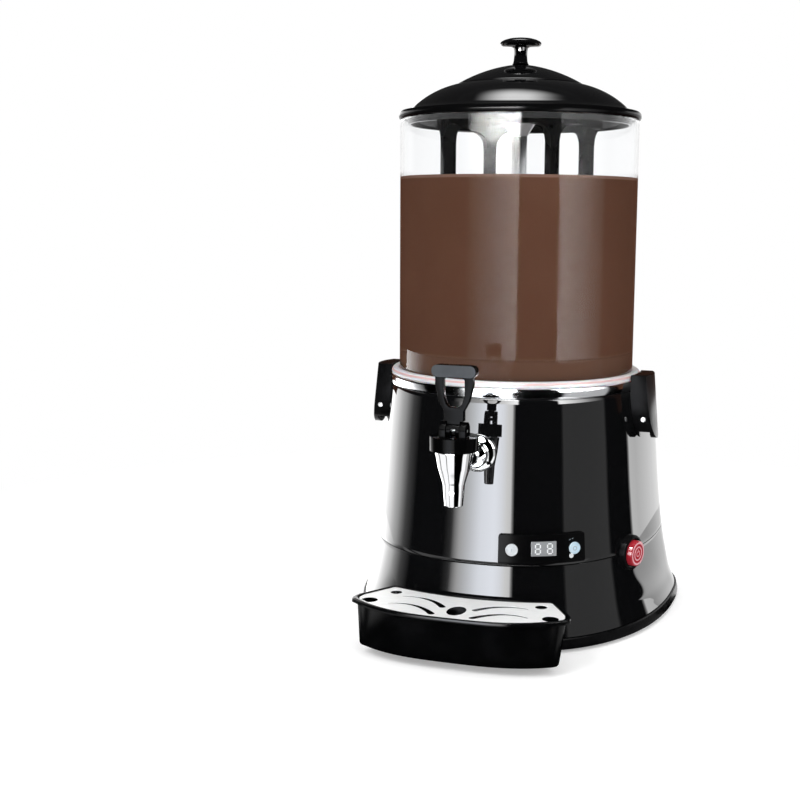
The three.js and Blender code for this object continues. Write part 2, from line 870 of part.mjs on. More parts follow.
addPiece(machine, 'drive_shaft', rod(shaftRadius, gearboxHigh + seatGap, shaftTop, smallSides), steel);
addPiece(machine, 'shaft_bush', shaftBush(), bronze);

// Agitator: a cage with four bars, the tube that carries it and the cone nut on top

function cageBar() {
  const half = cageBarWidth / 2;
  const flared = half + cageWindowCorner;
  const spring = cageTop - cageTopBand - cageWindowCorner;
  const outline = [
    [-half, cageFoot], [half, cageFoot], ...arcPoints(flared, spring, cageWindowCorner, 180, 90, 4),
    [flared, cageTop], [-flared, cageTop], ...arcPoints(-flared, spring, cageWindowCorner, 90, 0, 4),
  ];
  return prism(outline, -cageRadius - overrun, -cageHubRadius).rotate([-90, 0, 0]).mirror([0, 0, 1]);
}

function agitatorCage() {
  const bore = agitatorTubeRadius + seatGap;
  const inner = cageRadius - cageWall;
  const reach = cageRadius - cageWall / 2;
  const band = (low, high) => turned([[inner, low], [cageRadius, low], [cageRadius, high], [inner, high]]);
  const bars = Array.from({ length: cageBars }, (_, i) => cageBar().rotate([0, 0, (i * 360) / cageBars]));
  const hub = rod(cageHubRadius, cageFoot, cageFoot + cageBottomBand);
  const arms = [0, 90].map((turn) => bar(-reach, reach, -cageArmWidth / 2, cageArmWidth / 2,
    cageFoot, cageFoot + cageBottomBand).rotate([0, 0, turn]));
  const crownArms = [0, 90].map((turn) => bar(-reach, reach, -cageArmWidth / 2,
    cageArmWidth / 2, cageTop - cageDisc, cageTop).rotate([0, 0, turn]));
  const crownHub = rod(coneRadius, cageTop - cageDisc, cageTop);
  const cage = join(band(cageFoot, cageTop).intersect(join(...bars)),
    band(cageFoot, cageFoot + cageBottomBand), band(cageTop - cageTopBand, cageTop),
    hub, ...arms, crownHub, ...crownArms);
  return cut(cage, rod(bore, cageFoot - overrun, cageFoot + cageBottomBand + overrun));
}

function coneNut() {
  const bore = shaftRadius + seatGap;
  const top = coneFoot + coneHeight;
  const cone = turned([[0, coneFoot], [coneFootRadius, coneFoot], [coneRadius, top], [0, top]]);
  return cut(cone, rod(bore, coneFoot - overrun, shaftTop + seatGap, smallSides));
}

const agitator = new THREE.Group();
agitator.rotation.z = radians(cageTurn);
machine.add(agitator);
addPiece(agitator, 'agitator_cage', agitatorCage(), satinBlack);
const agitatorTube = turned([
  [agitatorTubeBore, agitatorTubeFoot], [agitatorTubeRadius, agitatorTubeFoot],
  [agitatorTubeRadius, coneFoot - seatGap], [agitatorTubeBore, coneFoot - seatGap],
], wideSides);
addPiece(agitator, 'agitator_tube', agitatorTube, steel);
addPiece(agitator, 'cone_nut', coneNut(), steel);

// Lid and knob

// A bulged run of profile points between two ends, the first left out
function bulged([r0, z0], [r1, z1], bulge, steps) {
  const length = Math.hypot(r1 - r0, z1 - z0);
  const away = [(z1 - z0) / length, (r0 - r1) / length];
  return Array.from({ length: steps }, (_, i) => {
    const t = (i + 1) / steps;
    const swell = 4 * bulge * t * (1 - t);
    return [r0 + (r1 - r0) * t + away[0] * swell, z0 + (z1 - z0) * t + away[1] * swell];
  });
}

function lid() {
  const bore = knobSpigotRadius + seatGap;
  const under = tankTop + seatGap;
  const rim = lidRadius;
  const skirtInner = lidSkirtRadius - lidWall;
  const shoulder = [lidShoulderRadius, lidShoulderHeight];
  const ridge = [lidRidgeRadius, lidRidgeHeight];
  const step = [lidRidgeRadius - lidRidgeStep, lidRidgeHeight + lidRidgeStep];
  const crown = [lidCrownRadius, lidCrownHeight];
  return turned([
    [bore, lidCrownHeight - lidWall],
    [lidCrownRadius, lidCrownHeight - lidWall],
    ...bulged([crown[0], crown[1] - lidWall], [step[0], step[1] - lidWall], -lidUpperBulge, 2),
    ...bulged([ridge[0], ridge[1] - lidWall], [skirtInner - lidWall, shoulder[1] - lidWall],
      -lidLowerBulge, 3),
    [skirtInner, under + lidRim / 2],
    [skirtInner, under - lidSkirtDrop],
    [lidSkirtRadius, under - lidSkirtDrop],
    [lidSkirtRadius, under],
    [rim - lidWall / 2, under],
    [rim, under + lidRim / 2],
    [rim - lidWall / 2, under + lidRim],
    [lidShoulderRadius + lidWall, under + lidRim + lidWall / 2],
    shoulder,
    ...bulged(shoulder, ridge, lidLowerBulge, 5),
    step,
    ...bulged(step, crown, lidUpperBulge, 4),
    [bore, lidCrownHeight],
  ]);
}

function lidKnob() {
  const seat = lidCrownHeight + seatGap;
  const knobTop = lidCrownHeight + knobRise;
  const discFoot = knobTop - knobDiscHeight;
  return turned([
    [0, seat - knobSpigotLength], [knobSpigotRadius, seat - knobSpigotLength], [knobSpigotRadius, seat],
    [knobStemRadius, seat], [knobWaistRadius, (seat + discFoot) / 2], [knobStemRadius, discFoot],
    ...knobRadiusShares.map((share, i) => [
      knobRadius * share, discFoot + knobDiscHeight * knobHeightShares[i],
    ]),
    [0, knobTop],
  ], wideSides);
}

function knobNut() {
  const high = lidCrownHeight - lidWall - seatGap;
  const bore = knobSpigotRadius + seatGap;
  return turned([
    [bore, high - knobNutHeight], [knobNutRadius, high - knobNutHeight], [knobNutRadius, high], [bore, high],
  ], tinySides);
}

addPiece(machine, 'lid', lid(), glossBlack);
addPiece(machine, 'lid_knob', lidKnob(), glossBlack);
addPiece(machine, 'knob_nut', knobNut(), plated);

// Tap

const cheekFoot = collarFoot + collarHeight - joinDepth;
const pinHeight = collarFoot + collarHeight + pinRise;
const stemTop = pinHeight - stemDrop;
const leverNeckHeight = pinHeight + leverNeckRise;
const leverBarFoot = pinHeight + leverBarRise;
const leverTop = pinHeight + leverTopRise;

const acrossPin = (manifold) => manifold.rotate([0, 90, 0]).translate([0, 0, pinHeight]);
const pinHole = () => acrossPin(rod(pinRadius + seatGap, -collarRadius, collarRadius, tinySides));

function tapBody() {
  const nozzle = turned([
    [0, nozzleFoot], [nozzleFootRadius, nozzleFoot], [nozzleWaistRadius, nozzleWaistHeight],
    [nozzleHipRadius, nozzleHipHeight], [nozzleTopRadius, nozzleTop], [spigotRadius, nozzleTop],
    [spigotRadius, spigotTop], [0, spigotTop],
  ], fineSides);
  const shank = rod(shankRadius, shankInner - tapReach, 0, middleSides).rotate([90, 0, 0])
    .translate([0, 0, tapHeight]);
  const shankHollow = rod(shankBore, shankInner - tapReach - overrun, 0, smallSides).rotate([90, 0, 0])
    .translate([0, 0, tapHeight]);
  const spout = rod(nozzleBore, nozzleFoot - overrun, spigotTop, middleSides);
  const chamber = rod(chamberRadius, chamberFoot, spigotTop + overrun, wideSides);
  return cut(join(nozzle, shank), shankHollow, spout, chamber);
}

function tapBonnet() {
  const ceiling = spigotTop + seatGap;
  const collar = cut(
    rod(collarRadius, collarFoot, collarFoot + collarHeight, roundSides),
    rod(spigotRadius + seatGap, collarFoot - overrun, ceiling, fineSides),
    rod(stemRadius + runGap, ceiling - overrun, leverTop, smallSides),
  );
  const side = [
    [-cheekRound, cheekFoot], [cheekRound, cheekFoot], ...arcPoints(0, pinHeight, cheekRound, 0, 180, 8),
  ];
  const cheek = (from, to) => prism(side, from, to).rotate([90, 0, 0]).rotate([0, 0, 90]);
  const groove = acrossPin(rod(leverHubRadius + runGap, -cheekInner, cheekInner, middleSides));
  return cut(join(cut(collar, groove), cheek(cheekInner, cheekOuter), cheek(-cheekOuter, -cheekInner)),
    pinHole());
}

function tapHandle() {
  const hubHalf = cheekInner - runGap;
  const across = (manifold) => manifold.rotate([90, 0, 0]);
  const hub = acrossPin(rod(leverHubRadius, -hubHalf, hubHalf, middleSides));
  const neckLow = pinHeight + cheekRound + runGap;
  const half = leverThickness / 2;
  const mirrored = (side) => [...side, ...side.map(([x, z]) => [-x, z]).reverse()];
  const stalk = bar(-hubHalf, hubHalf, -half, half, pinHeight, neckLow + joinDepth);
  const blade = prism(mirrored([
    [leverNeck, neckLow], [leverNeck, leverNeckHeight], [leverWaist, pinHeight + leverWaistRise],
    [leverShoulder, leverBarFoot - leverLimb], [leverShoulder, leverBarFoot + joinDepth],
  ]), -half, half);
  const eye = prism(mirrored([
    [eyeFootHalf, pinHeight + eyeFootRise], [eyeLowHalf, pinHeight + eyeLowRise],
    [eyeHalf, pinHeight + eyeHalfRise], [eyeHalf, leverBarFoot - eyeCorner],
    [eyeHalf - eyeCorner, leverBarFoot],
  ]), -half - overrun, half + overrun);
  const barHeight = leverTop - leverBarFoot;
  const grip = prism(roundedBox(leverBarLength, barHeight, barHeight * gripRoundShare, 5),
    -leverBarDepth / 2, leverBarDepth / 2);
  const slot = bar(-leverSlot / 2, leverSlot / 2, -leverHubRadius - overrun, leverHubRadius + overrun,
    pinHeight - leverHubRadius - overrun, pinHeight + leverSlot / 2);
  const topBar = across(grip).translate([0, 0, (leverBarFoot + leverTop) / 2]);
  return cut(join(hub, stalk, across(cut(blade, eye)), topBar), slot, pinHole());
}

function tapStem() {
  const cupFoot = chamberFoot + seatGap;
  return turned([
    [0, cupFoot], [seatCupRadius, cupFoot], [seatCupRadius, cupFoot + seatCupHeight / 2],
    [seatCupRadius / 2, cupFoot + seatCupHeight], [stemRadius, cupFoot + seatCupHeight],
    [stemRadius, stemTop], [0, stemTop],
  ], middleSides);
}

class Helix extends THREE.Curve {
  constructor(radius, low, high, turns) {
    super();
    Object.assign(this, { radius, low, high, turns });
  }

  getPoint(t, target = new THREE.Vector3()) {
    const angle = 2 * Math.PI * this.turns * t;
    const rise = this.low + (this.high - this.low) * t;
    return target.set(this.radius * Math.cos(angle), this.radius * Math.sin(angle), rise);
  }
}

function tapSpring() {
  const low = chamberFoot + seatGap + seatCupHeight + springWire + seatGap;
  const high = spigotTop - stemTravel - springWire;
  const path = new Helix(springRadius, low, high, springTurns);
  const wire = circlePoints(0, 0, springWire, 5).map(([x, y]) => new THREE.Vector2(x, y));
  const section = new THREE.Shape(wire);
  return solid(new THREE.ExtrudeGeometry(section, {
    steps: springTurns * 10, bevelEnabled: false, extrudePath: path,
  }));
}

function tapFlange() {
  const face = casingRadius(0, tapHeight);
  const bore = shankRadius + seatGap;
  const disc = turned([
    [bore, -tapFlangeRim - overrun], [tapFlangeRadius, -tapFlangeRim - overrun],
    [tapFlangeRadius, tapFlangeRim], [tapFlangeBoss, tapFlangeRim * 2], [tapFlangeBoss, tapFlangeLength],
    [bore, tapFlangeLength],
  ], fineSides);
  const placed = facing(disc.translate([0, 0, face]), 0, tapHeight);
  return cut(placed, casingBlank(seatGap, tapHeight - tapFlangeRadius * 2, tapHeight + tapFlangeRadius * 2));
}

const tap = new THREE.Group();
tap.position.y = -tapReach;
machine.add(tap);
addPiece(tap, 'tap_body', tapBody(), chromed);
addPiece(tap, 'tap_bonnet', tapBonnet(), glossBlack);
addPiece(tap, 'tap_handle', tapHandle(), glossBlack);
const pinLength = 2 * cheekOuter;
addPiece(tap, 'tap_pin', acrossPin(rod(pinRadius, -pinLength / 2, pinLength / 2, tinySides)), steel);
addPiece(tap, 'tap_stem', tapStem(), silicone);
addPiece(tap, 'tap_spring', tapSpring(), steel);
addPiece(machine, 'tap_flange', tapFlange(), chromed);

function alongShank(inner, outer, radius, bore, sides) {
  const ring = turned([[bore, inner], [radius, inner], [radius, outer], [bore, outer]], sides);
  return facing(ring, 0, tapHeight);
}

const shankFit = shankRadius + seatGap;
const washerOuter = bowlRadius - runGap * 2 - seatGap;
const shankSeal = alongShank(bowlOuter + seatGap, bathOuter + joinDepth, sealRadius, shankFit, middleSides);
addPiece(machine, 'shank_seal', shankSeal, silicone);
const washerInner = washerOuter - washerThickness;
const tapWasher = alongShank(washerInner, washerOuter, tapNutRadius, shankFit, middleSides);
addPiece(machine, 'tap_washer', tapWasher, silicone);
const nutOuter = washerInner - seatGap;
const tapNut = cut(facing(rod(tapNutRadius, nutOuter - tapNutLength, nutOuter, 6), 0, tapHeight),
  shankHole(shankFit, 0, tapReach));
addPiece(machine, 'tap_nut', tapNut, steel);

// Control panel

const boardBack = -boardSetback + seatGap;
const boardFace = boardBack + boardThickness;
const panelBack = boardFace + seatGap;

function buttonBore(azimuth, radius) {
  const face = casingRadius(azimuth, buttonHeight);
  const bore = rod(radius, face - boardSetback - overrun, face + panelProud + overrun, middleSides);
  return facing(bore, azimuth, buttonHeight);
}

function panelBezel() {
  const inset = panelFrameAngle + panelFitAngle;
  const front = wrapped(panelStart, panelEnd, panelFoot, panelTop, runGap, panelProud);
  const back = wrapped(panelStart + inset, panelEnd - inset, panelFoot + panelFrame + runGap,
    panelTop - panelFrame - runGap, panelBack, panelProud / 2);
  const recess = wrapped(displayStart - displayFitAngle, displayEnd + displayFitAngle,
    displayFoot - seatGap, displayTop + seatGap, panelProud - displayRecess, panelProud + overrun, 4);
  return cut(join(front, back), recess, buttonBore(setButtonAzimuth, buttonRadius + runGap),
    buttonBore(lightButtonAzimuth, buttonRadius + runGap));
}

function panelButton(azimuth) {
  const face = casingRadius(azimuth, buttonHeight);
  const low = face + boardFace + buttonTravel + buttonClearance;
  return facing(rod(buttonRadius, low, face + buttonProud, middleSides), azimuth, buttonHeight);
}

const board = wrapped(panelStart + boardInsetAngle, panelEnd - boardInsetAngle,
  panelFoot + panelFrame + joinDepth, panelTop - panelFrame - joinDepth, boardBack, boardFace);
const displayWindow = wrapped(displayStart, displayEnd, displayFoot, displayTop,
  panelProud - displayRecess + seatGap, panelProud + seatGap, 4);
addPiece(machine, 'panel_bezel', panelBezel(), glossBlack);
addPiece(machine, 'control_board', board, boardGreen);
addPiece(machine, 'display_window', displayWindow, displayGrey);
addPiece(machine, 'set_button', panelButton(setButtonAzimuth), buttonGrey);
addPiece(machine, 'light_button', panelButton(lightButtonAzimuth), buttonGrey);

// Power switch

function switchBody() {
  const rim = rod(switchRimRadius, switchFace - overrun * 2, switchFace + switchRimProud, fineSides);
  const low = switchFace - switchBarrelLength;
  const outside = cut(facing(rim, switchAzimuth, switchHeight),
    casingBlank(seatGap, switchHeight - switchRimRadius * 1.5, switchHeight + switchRimRadius * 1.5));
  const barrel = rod(switchBarrel, low, switchFace + joinDepth, wideSides);
  const mouth = switchFace + switchRimProud + overrun;
  const well = rod(switchCapRadius + runGap, low + switchStemLength / 2, mouth, wideSides);
  return cut(join(outside, facing(barrel, switchAzimuth, switchHeight)),
    facing(well, switchAzimuth, switchHeight));
}

function powerButton() {
  const capFoot = switchFace - overrun;
  const top = switchFace + switchCapProud;
  const button = turned([
    [0, capFoot - switchStemLength / 2], [switchStemRadius, capFoot - switchStemLength / 2],
    [switchStemRadius, capFoot], [switchCapRadius, capFoot], [switchCapRadius, top - switchCapEdge],
    [switchCapRadius - switchCapEdge, top], [0, top],
  ], fineSides);
  return facing(button, switchAzimuth, switchHeight);
}

function switchNut() {
  const bore = switchBarrel + seatGap;
  const low = switchFace - switchNutInset;
  const nut = turned([
    [bore, low], [switchNutRadius, low], [switchNutRadius, switchFace], [bore, switchFace],
  ], wideSides);
  const inside = casingBlank(-casingWall - seatGap,
    switchHeight - switchBarrel * 2, switchHeight + switchBarrel * 2);
  return facing(nut, switchAzimuth, switchHeight).intersect(inside);
}

addPiece(machine, 'switch_body', switchBody(), satinBlack);
addPiece(machine, 'power_button', powerButton(), switchRed);
addPiece(machine, 'switch_nut', switchNut(), whitePlastic);

// Handles: hooks over the steel rim, open below, with a screw through each cheek into a lug bracket

const handleTopReach = deckHalfWidth + handleTopStand;
const handleTopEdge = deckHalfWidth + handleTopEdgeStand;
const footFace = casingPlan(handleFoot).half;
const handleFootReach = footFace + handleFootStand;
const handleFootEdge = footFace + handleFootEdgeStand;
const notchInner = footFace - notchInset;
const notchOuter = footFace + notchStand;
const screwFace = casingPlan(handleScrewHeight).half;
const handleScrewX = screwFace + handleScrewStand;
const lugReach = screwFace + lugStand;
const lugStrip = screwFace + lugStripStand;

const forward = (manifold) => manifold.translate([0, -handleForward, 0]);

function handleOutline(edge, reach, halfWidth, height) {
  const arc = Array.from({ length: 7 }, (_, i) => {
    const t = -1 + (2 * i) / 6;
    return [edge + (reach - edge) * (1 - t * t), halfWidth * t, height];
  });
  return [[handleInner, -halfWidth, height], ...arc, [handleInner, halfWidth, height]];
}

// From the side a handle is a shield: straight edges above, half an oval below
function shieldHalf(height, inset) {
  const drop = Math.max(handleFoot + handleCurve - height, 0) / (handleCurve - inset);
  return (handleHalfWidth - inset) * Math.sqrt(1 - drop * drop);
}

function shield(inset) {
  const half = handleHalfWidth - inset;
  const curve = handleCurve - inset;
  const oval = Array.from({ length: 13 }, (_, i) => {
    const turn = (i * Math.PI) / 12;
    return [-half * Math.cos(turn), handleFoot + handleCurve - curve * Math.sin(turn)];
  });
  const outline = [[half, handleTop + overrun], [-half, handleTop + overrun], ...oval];
  return prism(outline, handleInner - overrun, handleTopReach * 2).rotate([90, 0, 0]).rotate([0, 0, 90]);
}

function handleShell() {
  const slope = (handleFootReach - handleTopReach) / (handleTop - handleFoot);
  const edgeSlope = (handleFootEdge - handleTopEdge) / (handleTop - handleFoot);
  const ring = (height, inset) => {
    const drop = handleTop - height;
    return handleOutline(handleTopEdge + edgeSlope * drop - inset, handleTopReach + slope * drop - inset,
      handleHalfWidth, height);
  };
  const outer = loft([ring(handleFoot, 0), ring(handleTop, 0)]).intersect(shield(0));
  const hollow = loft([
    ring(handleFoot - overrun, handlePlate), ring(handleTop - handleRoof, handlePlate),
  ]).intersect(shield(handleCheek));
  const notch = bar(notchInner, notchOuter, -handleHalfWidth * 2, handleHalfWidth * 2, handleFoot - overrun,
    notchTop);
  const overDeck = deckHeight + seatGap;
  return cut(forward(cut(outer, hollow, notch)),
    casingBlank(runGap, handleFoot - overrun * 2, overDeck),
    rod(rimRadius + seatGap, overDeck - joinDepth, handleTop + overrun, roundSides));
}

function handleBracket() {
  const low = handleScrewHeight - lugHeight / 2;
  const high = handleScrewHeight + lugHeight / 2;
  const half = shieldHalf(low, handleCheek) - seatGap;
  const block = bar(handleInner, lugReach, -half, half, low, high);
  const gap = bar(lugStrip, lugReach + overrun, -half + lugDepth, half - lugDepth,
    low - overrun, high + overrun);
  const screwWay = rod(screwRadius + seatGap, -half - overrun, half + overrun, tinySides).rotate([90, 0, 0])
    .translate([handleScrewX, 0, handleScrewHeight]);
  return cut(forward(cut(block, gap, screwWay)), casingBlank(seatGap, low - overrun, high + overrun));
}

function handleScrew() {
  const face = shieldHalf(handleScrewHeight, 0);
  return turned([
    [0, face - screwHeadDepth - screwLength], [screwRadius, face - screwHeadDepth - screwLength],
    [screwRadius, face - screwHeadDepth], [screwHeadRadius, face - screwHeadDepth],
    [screwHeadRadius, face + screwHeadProud / 2], [screwHeadRadius / 2, face + screwHeadProud],
    [0, face + screwHeadProud],
  ], tinySides);
}

function screwSeat(side) {
  const face = shieldHalf(handleScrewHeight, 0);
  const hole = join(rod(screwRadius + seatGap, 0, face + overrun, tinySides),
    rod(screwHeadRadius + seatGap, face - screwHeadDepth - seatGap, face + overrun, tinySides));
  return forward(hole.rotate([side * 90, 0, 0]).translate([handleScrewX, 0, handleScrewHeight]));
}

[['right', 1], ['left', -1]].forEach(([name, side]) => {
  const onSide = (manifold) => (side > 0 ? manifold : manifold.mirror([1, 0, 0]));
  const shell = cut(handleShell(), screwSeat(1), screwSeat(-1));
  addPiece(machine, `${name}_handle`, onSide(shell), satinBlack);
  addPiece(machine, `${name}_handle_bracket`, onSide(handleBracket()), steel);
  [['front', 1], ['back', -1]].forEach(([end, turn]) => {
    const screw = handleScrew().rotate([turn * 90, 0, 0]).translate([handleScrewX, 0, handleScrewHeight]);
    addPiece(machine, `${name}_handle_screw_${end}`, onSide(forward(screw)), steel);
  });
});

// Drip tray and grid

const rimPlan = {
  half: trayHalfWidth, heel: trayBackHalf, front: trayFront, tipY: trayTip,
  heelY: trayBackCorner, middleY: trayBackMiddle,
};
const footPlan = {
  half: trayFootHalf, heel: trayFootBackHalf, front: trayFootFront, tipY: trayFootTip,
  heelY: trayFootBackCorner, middleY: trayFootBackMiddle,
};

// The tray's outline from above: bowed at the front, hollow at the back, moved inwards by an inset
function trayOutline(plan, inset) {
  const half = plan.half - inset * tipInsetShare;
  const heelHalf = plan.heel - inset * heelInsetShare;
  const front = plan.front - inset;
  const tipY = plan.tipY - inset;
  const heelY = plan.heelY + inset;
  const middleY = plan.middleY + inset;
  const bow = (x) => front - (front - tipY) * Math.abs(x / half) ** 3;
  const reach = half - trayTipRound / 2;
  const frontEdge = Array.from({ length: 13 }, (_, i) => {
    const x = reach * (-1 + (2 * i) / 12);
    return [x, -bow(x)];
  });
  const backRadius = (heelHalf ** 2 + (middleY - heelY) ** 2) / (2 * (middleY - heelY));
  const hollow = (x) => middleY - backRadius + Math.sqrt(backRadius ** 2 - x ** 2);
  const backEnd = heelHalf - trayBackRound;
  const backEdge = Array.from({ length: 9 }, (_, i) => {
    const x = backEnd * (1 - (2 * i) / 8);
    return [x, -hollow(x)];
  });
  const tip = (side) => [
    [side * half, -tipY + trayTipRound / 4],
    [side * (half - trayTipRound / 4), -tipY + trayTipRound],
  ];
  const heel = (side) => [
    [side * (heelHalf + trayBackRound / 3), -heelY - trayBackRound],
    [side * heelHalf, -heelY - trayBackRound / 4],
  ];
  return [
    ...frontEdge, ...tip(1), ...heel(1), ...backEdge, ...heel(-1).reverse(), ...tip(-1).reverse(),
  ];
}

function dripTray() {
  const ring = (plan, height, inset) => trayOutline(plan, inset).map(([x, y]) => [x, y, height]);
  const ledge = trayTop - gridDrop - gridSheet - seatGap;
  const wallTop = trayTop - trayLipHeight;
  return loft([
    ring(footPlan, trayFoot, trayFloor),
    ring(footPlan, trayFoot + trayFloor, 0),
    ring(rimPlan, wallTop, trayLip),
    ring(rimPlan, wallTop, 0),
    ring(rimPlan, trayTop - trayEdge, 0),
    ring(rimPlan, trayTop, trayEdge),
    ring(rimPlan, trayTop, trayLip),
    ring(rimPlan, ledge, trayLip),
    ring(rimPlan, ledge, trayLip + trayLedge),
    ring(footPlan, trayFoot + trayFloor, trayWall + trayFloor),
  ]);
}

// A slot that thins from its inner end to its outer tip
function gridSlot(side, points) {
  const path = new THREE.SplineCurve(points.map(([x, y]) => new THREE.Vector2(side * x, -y)));
  const steps = 6;
  const edge = (sign) => Array.from({ length: steps + 1 }, (_, i) => {
    const at = path.getPoint(i / steps);
    const along = path.getTangent(i / steps);
    const half = THREE.MathUtils.lerp(slotTipWidth, slotWidth, i / steps) / 2;
    return [at.x - along.y * half * sign, at.y + along.x * half * sign];
  });
  const end = path.getPoint(1);
  const tangent = path.getTangent(1);
  const start = THREE.MathUtils.radToDeg(Math.atan2(tangent.x, -tangent.y));
  const cap = arcPoints(end.x, end.y, slotWidth / 2, start, start - halfTurn, 6).slice(1, -1);
  return [...edge(1), ...cap, ...edge(-1).reverse()];
}

function dripGrid() {
  const holes = [];
  [-1, 1].forEach((side) => {
    holes.push(circlePoints(side * gridHoleBigX, -gridHoleBigY, gridHoleBig, smallSides));
    holes.push(circlePoints(side * gridHoleSmallX, -gridHoleSmallY, gridHoleSmall, tinySides));
    holes.push(gridSlot(side, [
      [backSlotTipX, backSlotTipY], [backSlotMiddleX, backSlotMiddleY], [backSlotEndX, backSlotEndY],
    ]));
    holes.push(gridSlot(side, [
      [frontSlotTipX, frontSlotTipY], [frontSlotMiddleX, frontSlotMiddleY], [frontSlotEndX, frontSlotEndY],
    ]));
  });
  const stretch = gridOvalLength / gridOvalWidth;
  holes.push(circlePoints(0, 0, gridOvalWidth / 2, smallSides)
    .map(([x, y]) => [x, y * stretch - gridOvalY]));
  const high = trayTop - gridDrop;
  const low = high - gridSheet;
  return cut(prism(trayOutline(rimPlan, gridInset), low, high),
    ...holes.map((hole) => prism(hole, low - overrun, high + overrun)));
}

addPiece(machine, 'drip_tray', dripTray(), satinBlack);
addPiece(machine, 'drip_grid', dripGrid(), steel);

// Power inlet at the back, and the supply and terminal blocks on the base plate

function powerInlet() {
  const face = casingRadius(halfTurn, inletHeight);
  const plate = bar(-inletWidth / 2, inletWidth / 2, face - overrun * 3, face + inletPlate,
    inletHeight - inletTall / 2, inletHeight + inletTall / 2);
  const body = bar(-inletBodyWidth / 2, inletBodyWidth / 2, face - inletBodyDepth, face + joinDepth,
    inletHeight - inletBodyTall / 2, inletHeight + inletBodyTall / 2);
  const socket = bar(-inletSocketWidth / 2, inletSocketWidth / 2,
    face - inletSocketDepth, face + inletPlate + overrun,
    inletHeight - inletSocketTall / 2, inletHeight + inletSocketTall / 2);
  const blank = casingBlank(seatGap, inletHeight - inletTall, inletHeight + inletTall);
  return cut(join(cut(plate, blank), body), socket);
}

function terminalBlock() {
  const low = plateHigh + seatGap;
  const block = bar(-terminalWidth / 2, terminalWidth / 2, -terminalDepth / 2, terminalDepth / 2, low,
    low + terminalTall);
  const pitch = terminalWidth / terminalWays;
  const slots = Array.from({ length: terminalWays }, (_, i) => {
    const x = (i - (terminalWays - 1) / 2) * pitch;
    return bar(x - terminalSlot / 2, x + terminalSlot / 2, -terminalSlot / 2, terminalDepth,
      low + terminalTall / 2, low + terminalTall + overrun);
  });
  return cut(block, ...slots);
}

addPiece(machine, 'power_inlet', powerInlet(), satinBlack);
addPiece(machine, 'power_supply', bar(-supplyWidth / 2, supplyWidth / 2, -supplyDepth / 2, supplyDepth / 2,
  plateHigh + seatGap, plateHigh + seatGap + supplyTall), plated).position.set(supplyX, supplyY, 0);
addPiece(machine, 'terminal_block', terminalBlock(), whitePlastic).position.set(terminalX, terminalY, 0);

// The origin lies below the middle of the whole part
const backReach = Math.max(
  casingPlan(footStandOut).back + ringBulge / 2,
  casingPlan(ringTop).back + ringBulge,
);
const frontReach = tapReach + collarRadius;
machine.position.y = (frontReach - backReach) / 2;

const part = new THREE.Group();
part.add(machine);

export default part;
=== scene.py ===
import math

import bmesh
import bpy
from mathutils import Matrix, Vector


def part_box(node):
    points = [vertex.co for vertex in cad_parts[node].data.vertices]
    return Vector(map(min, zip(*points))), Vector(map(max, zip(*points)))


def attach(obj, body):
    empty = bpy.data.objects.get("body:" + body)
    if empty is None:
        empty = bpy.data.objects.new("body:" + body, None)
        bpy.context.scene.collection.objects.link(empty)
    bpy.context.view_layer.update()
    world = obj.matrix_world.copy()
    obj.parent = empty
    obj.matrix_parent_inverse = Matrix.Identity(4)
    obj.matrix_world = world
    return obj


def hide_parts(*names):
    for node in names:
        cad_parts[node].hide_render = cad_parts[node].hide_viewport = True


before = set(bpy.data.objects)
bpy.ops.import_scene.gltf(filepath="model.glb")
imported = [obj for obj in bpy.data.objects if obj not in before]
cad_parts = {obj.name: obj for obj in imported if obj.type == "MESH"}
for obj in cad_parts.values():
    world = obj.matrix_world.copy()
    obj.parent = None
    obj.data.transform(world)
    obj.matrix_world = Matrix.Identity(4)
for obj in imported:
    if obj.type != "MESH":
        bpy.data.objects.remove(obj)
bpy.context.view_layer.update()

# Profiles are written in millimetres about the tank's axis, and placed in the frame's metres.
tank_low, tank_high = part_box("tank")
TANK_AXIS_Y = (tank_low.y + tank_high.y) / 2
MILLIMETRE = 0.001
ON_TANK = Matrix.Translation((0, TANK_AXIS_Y, 0)) @ Matrix.Scale(MILLIMETRE, 4)
TAP_REACH = 210
ON_TAP = ON_TANK @ Matrix.Translation((0, -TAP_REACH, 0))
TAP_CENTRE = (0, TANK_AXIS_Y - TAP_REACH * MILLIMETRE, 0)
FULL_TURN = 2 * math.pi


def add_object(name, data):
    made = bpy.data.objects.new(name, data)
    bpy.context.scene.collection.objects.link(made)
    return made


# ---- Camera, at the photograph's viewing angle ----

CAMERA_PLACE = (0.317945, TANK_AXIS_Y - 1.233189, 0.406035)
CAMERA_TURN, CAMERA_TILT, CAMERA_ROLL = 0.3052, 0.1488, 0.0091


def place_camera():
    data = bpy.data.cameras.new("view_from_the_front_right")
    camera = add_object("view_from_the_front_right", data)
    data.sensor_width = 36
    data.lens = 55.74
    data.shift_x = -0.0625
    data.clip_start, data.clip_end = 0.05, 60
    aim = (Matrix.Rotation(CAMERA_TURN, 4, "Z")
           @ Matrix.Rotation(math.pi / 2 - CAMERA_TILT, 4, "X"))
    camera.matrix_world = (Matrix.Translation(CAMERA_PLACE) @ aim
                           @ Matrix.Rotation(CAMERA_ROLL, 4, "Z"))
    bpy.context.scene.camera = camera


place_camera()


# ---- Finishes ----

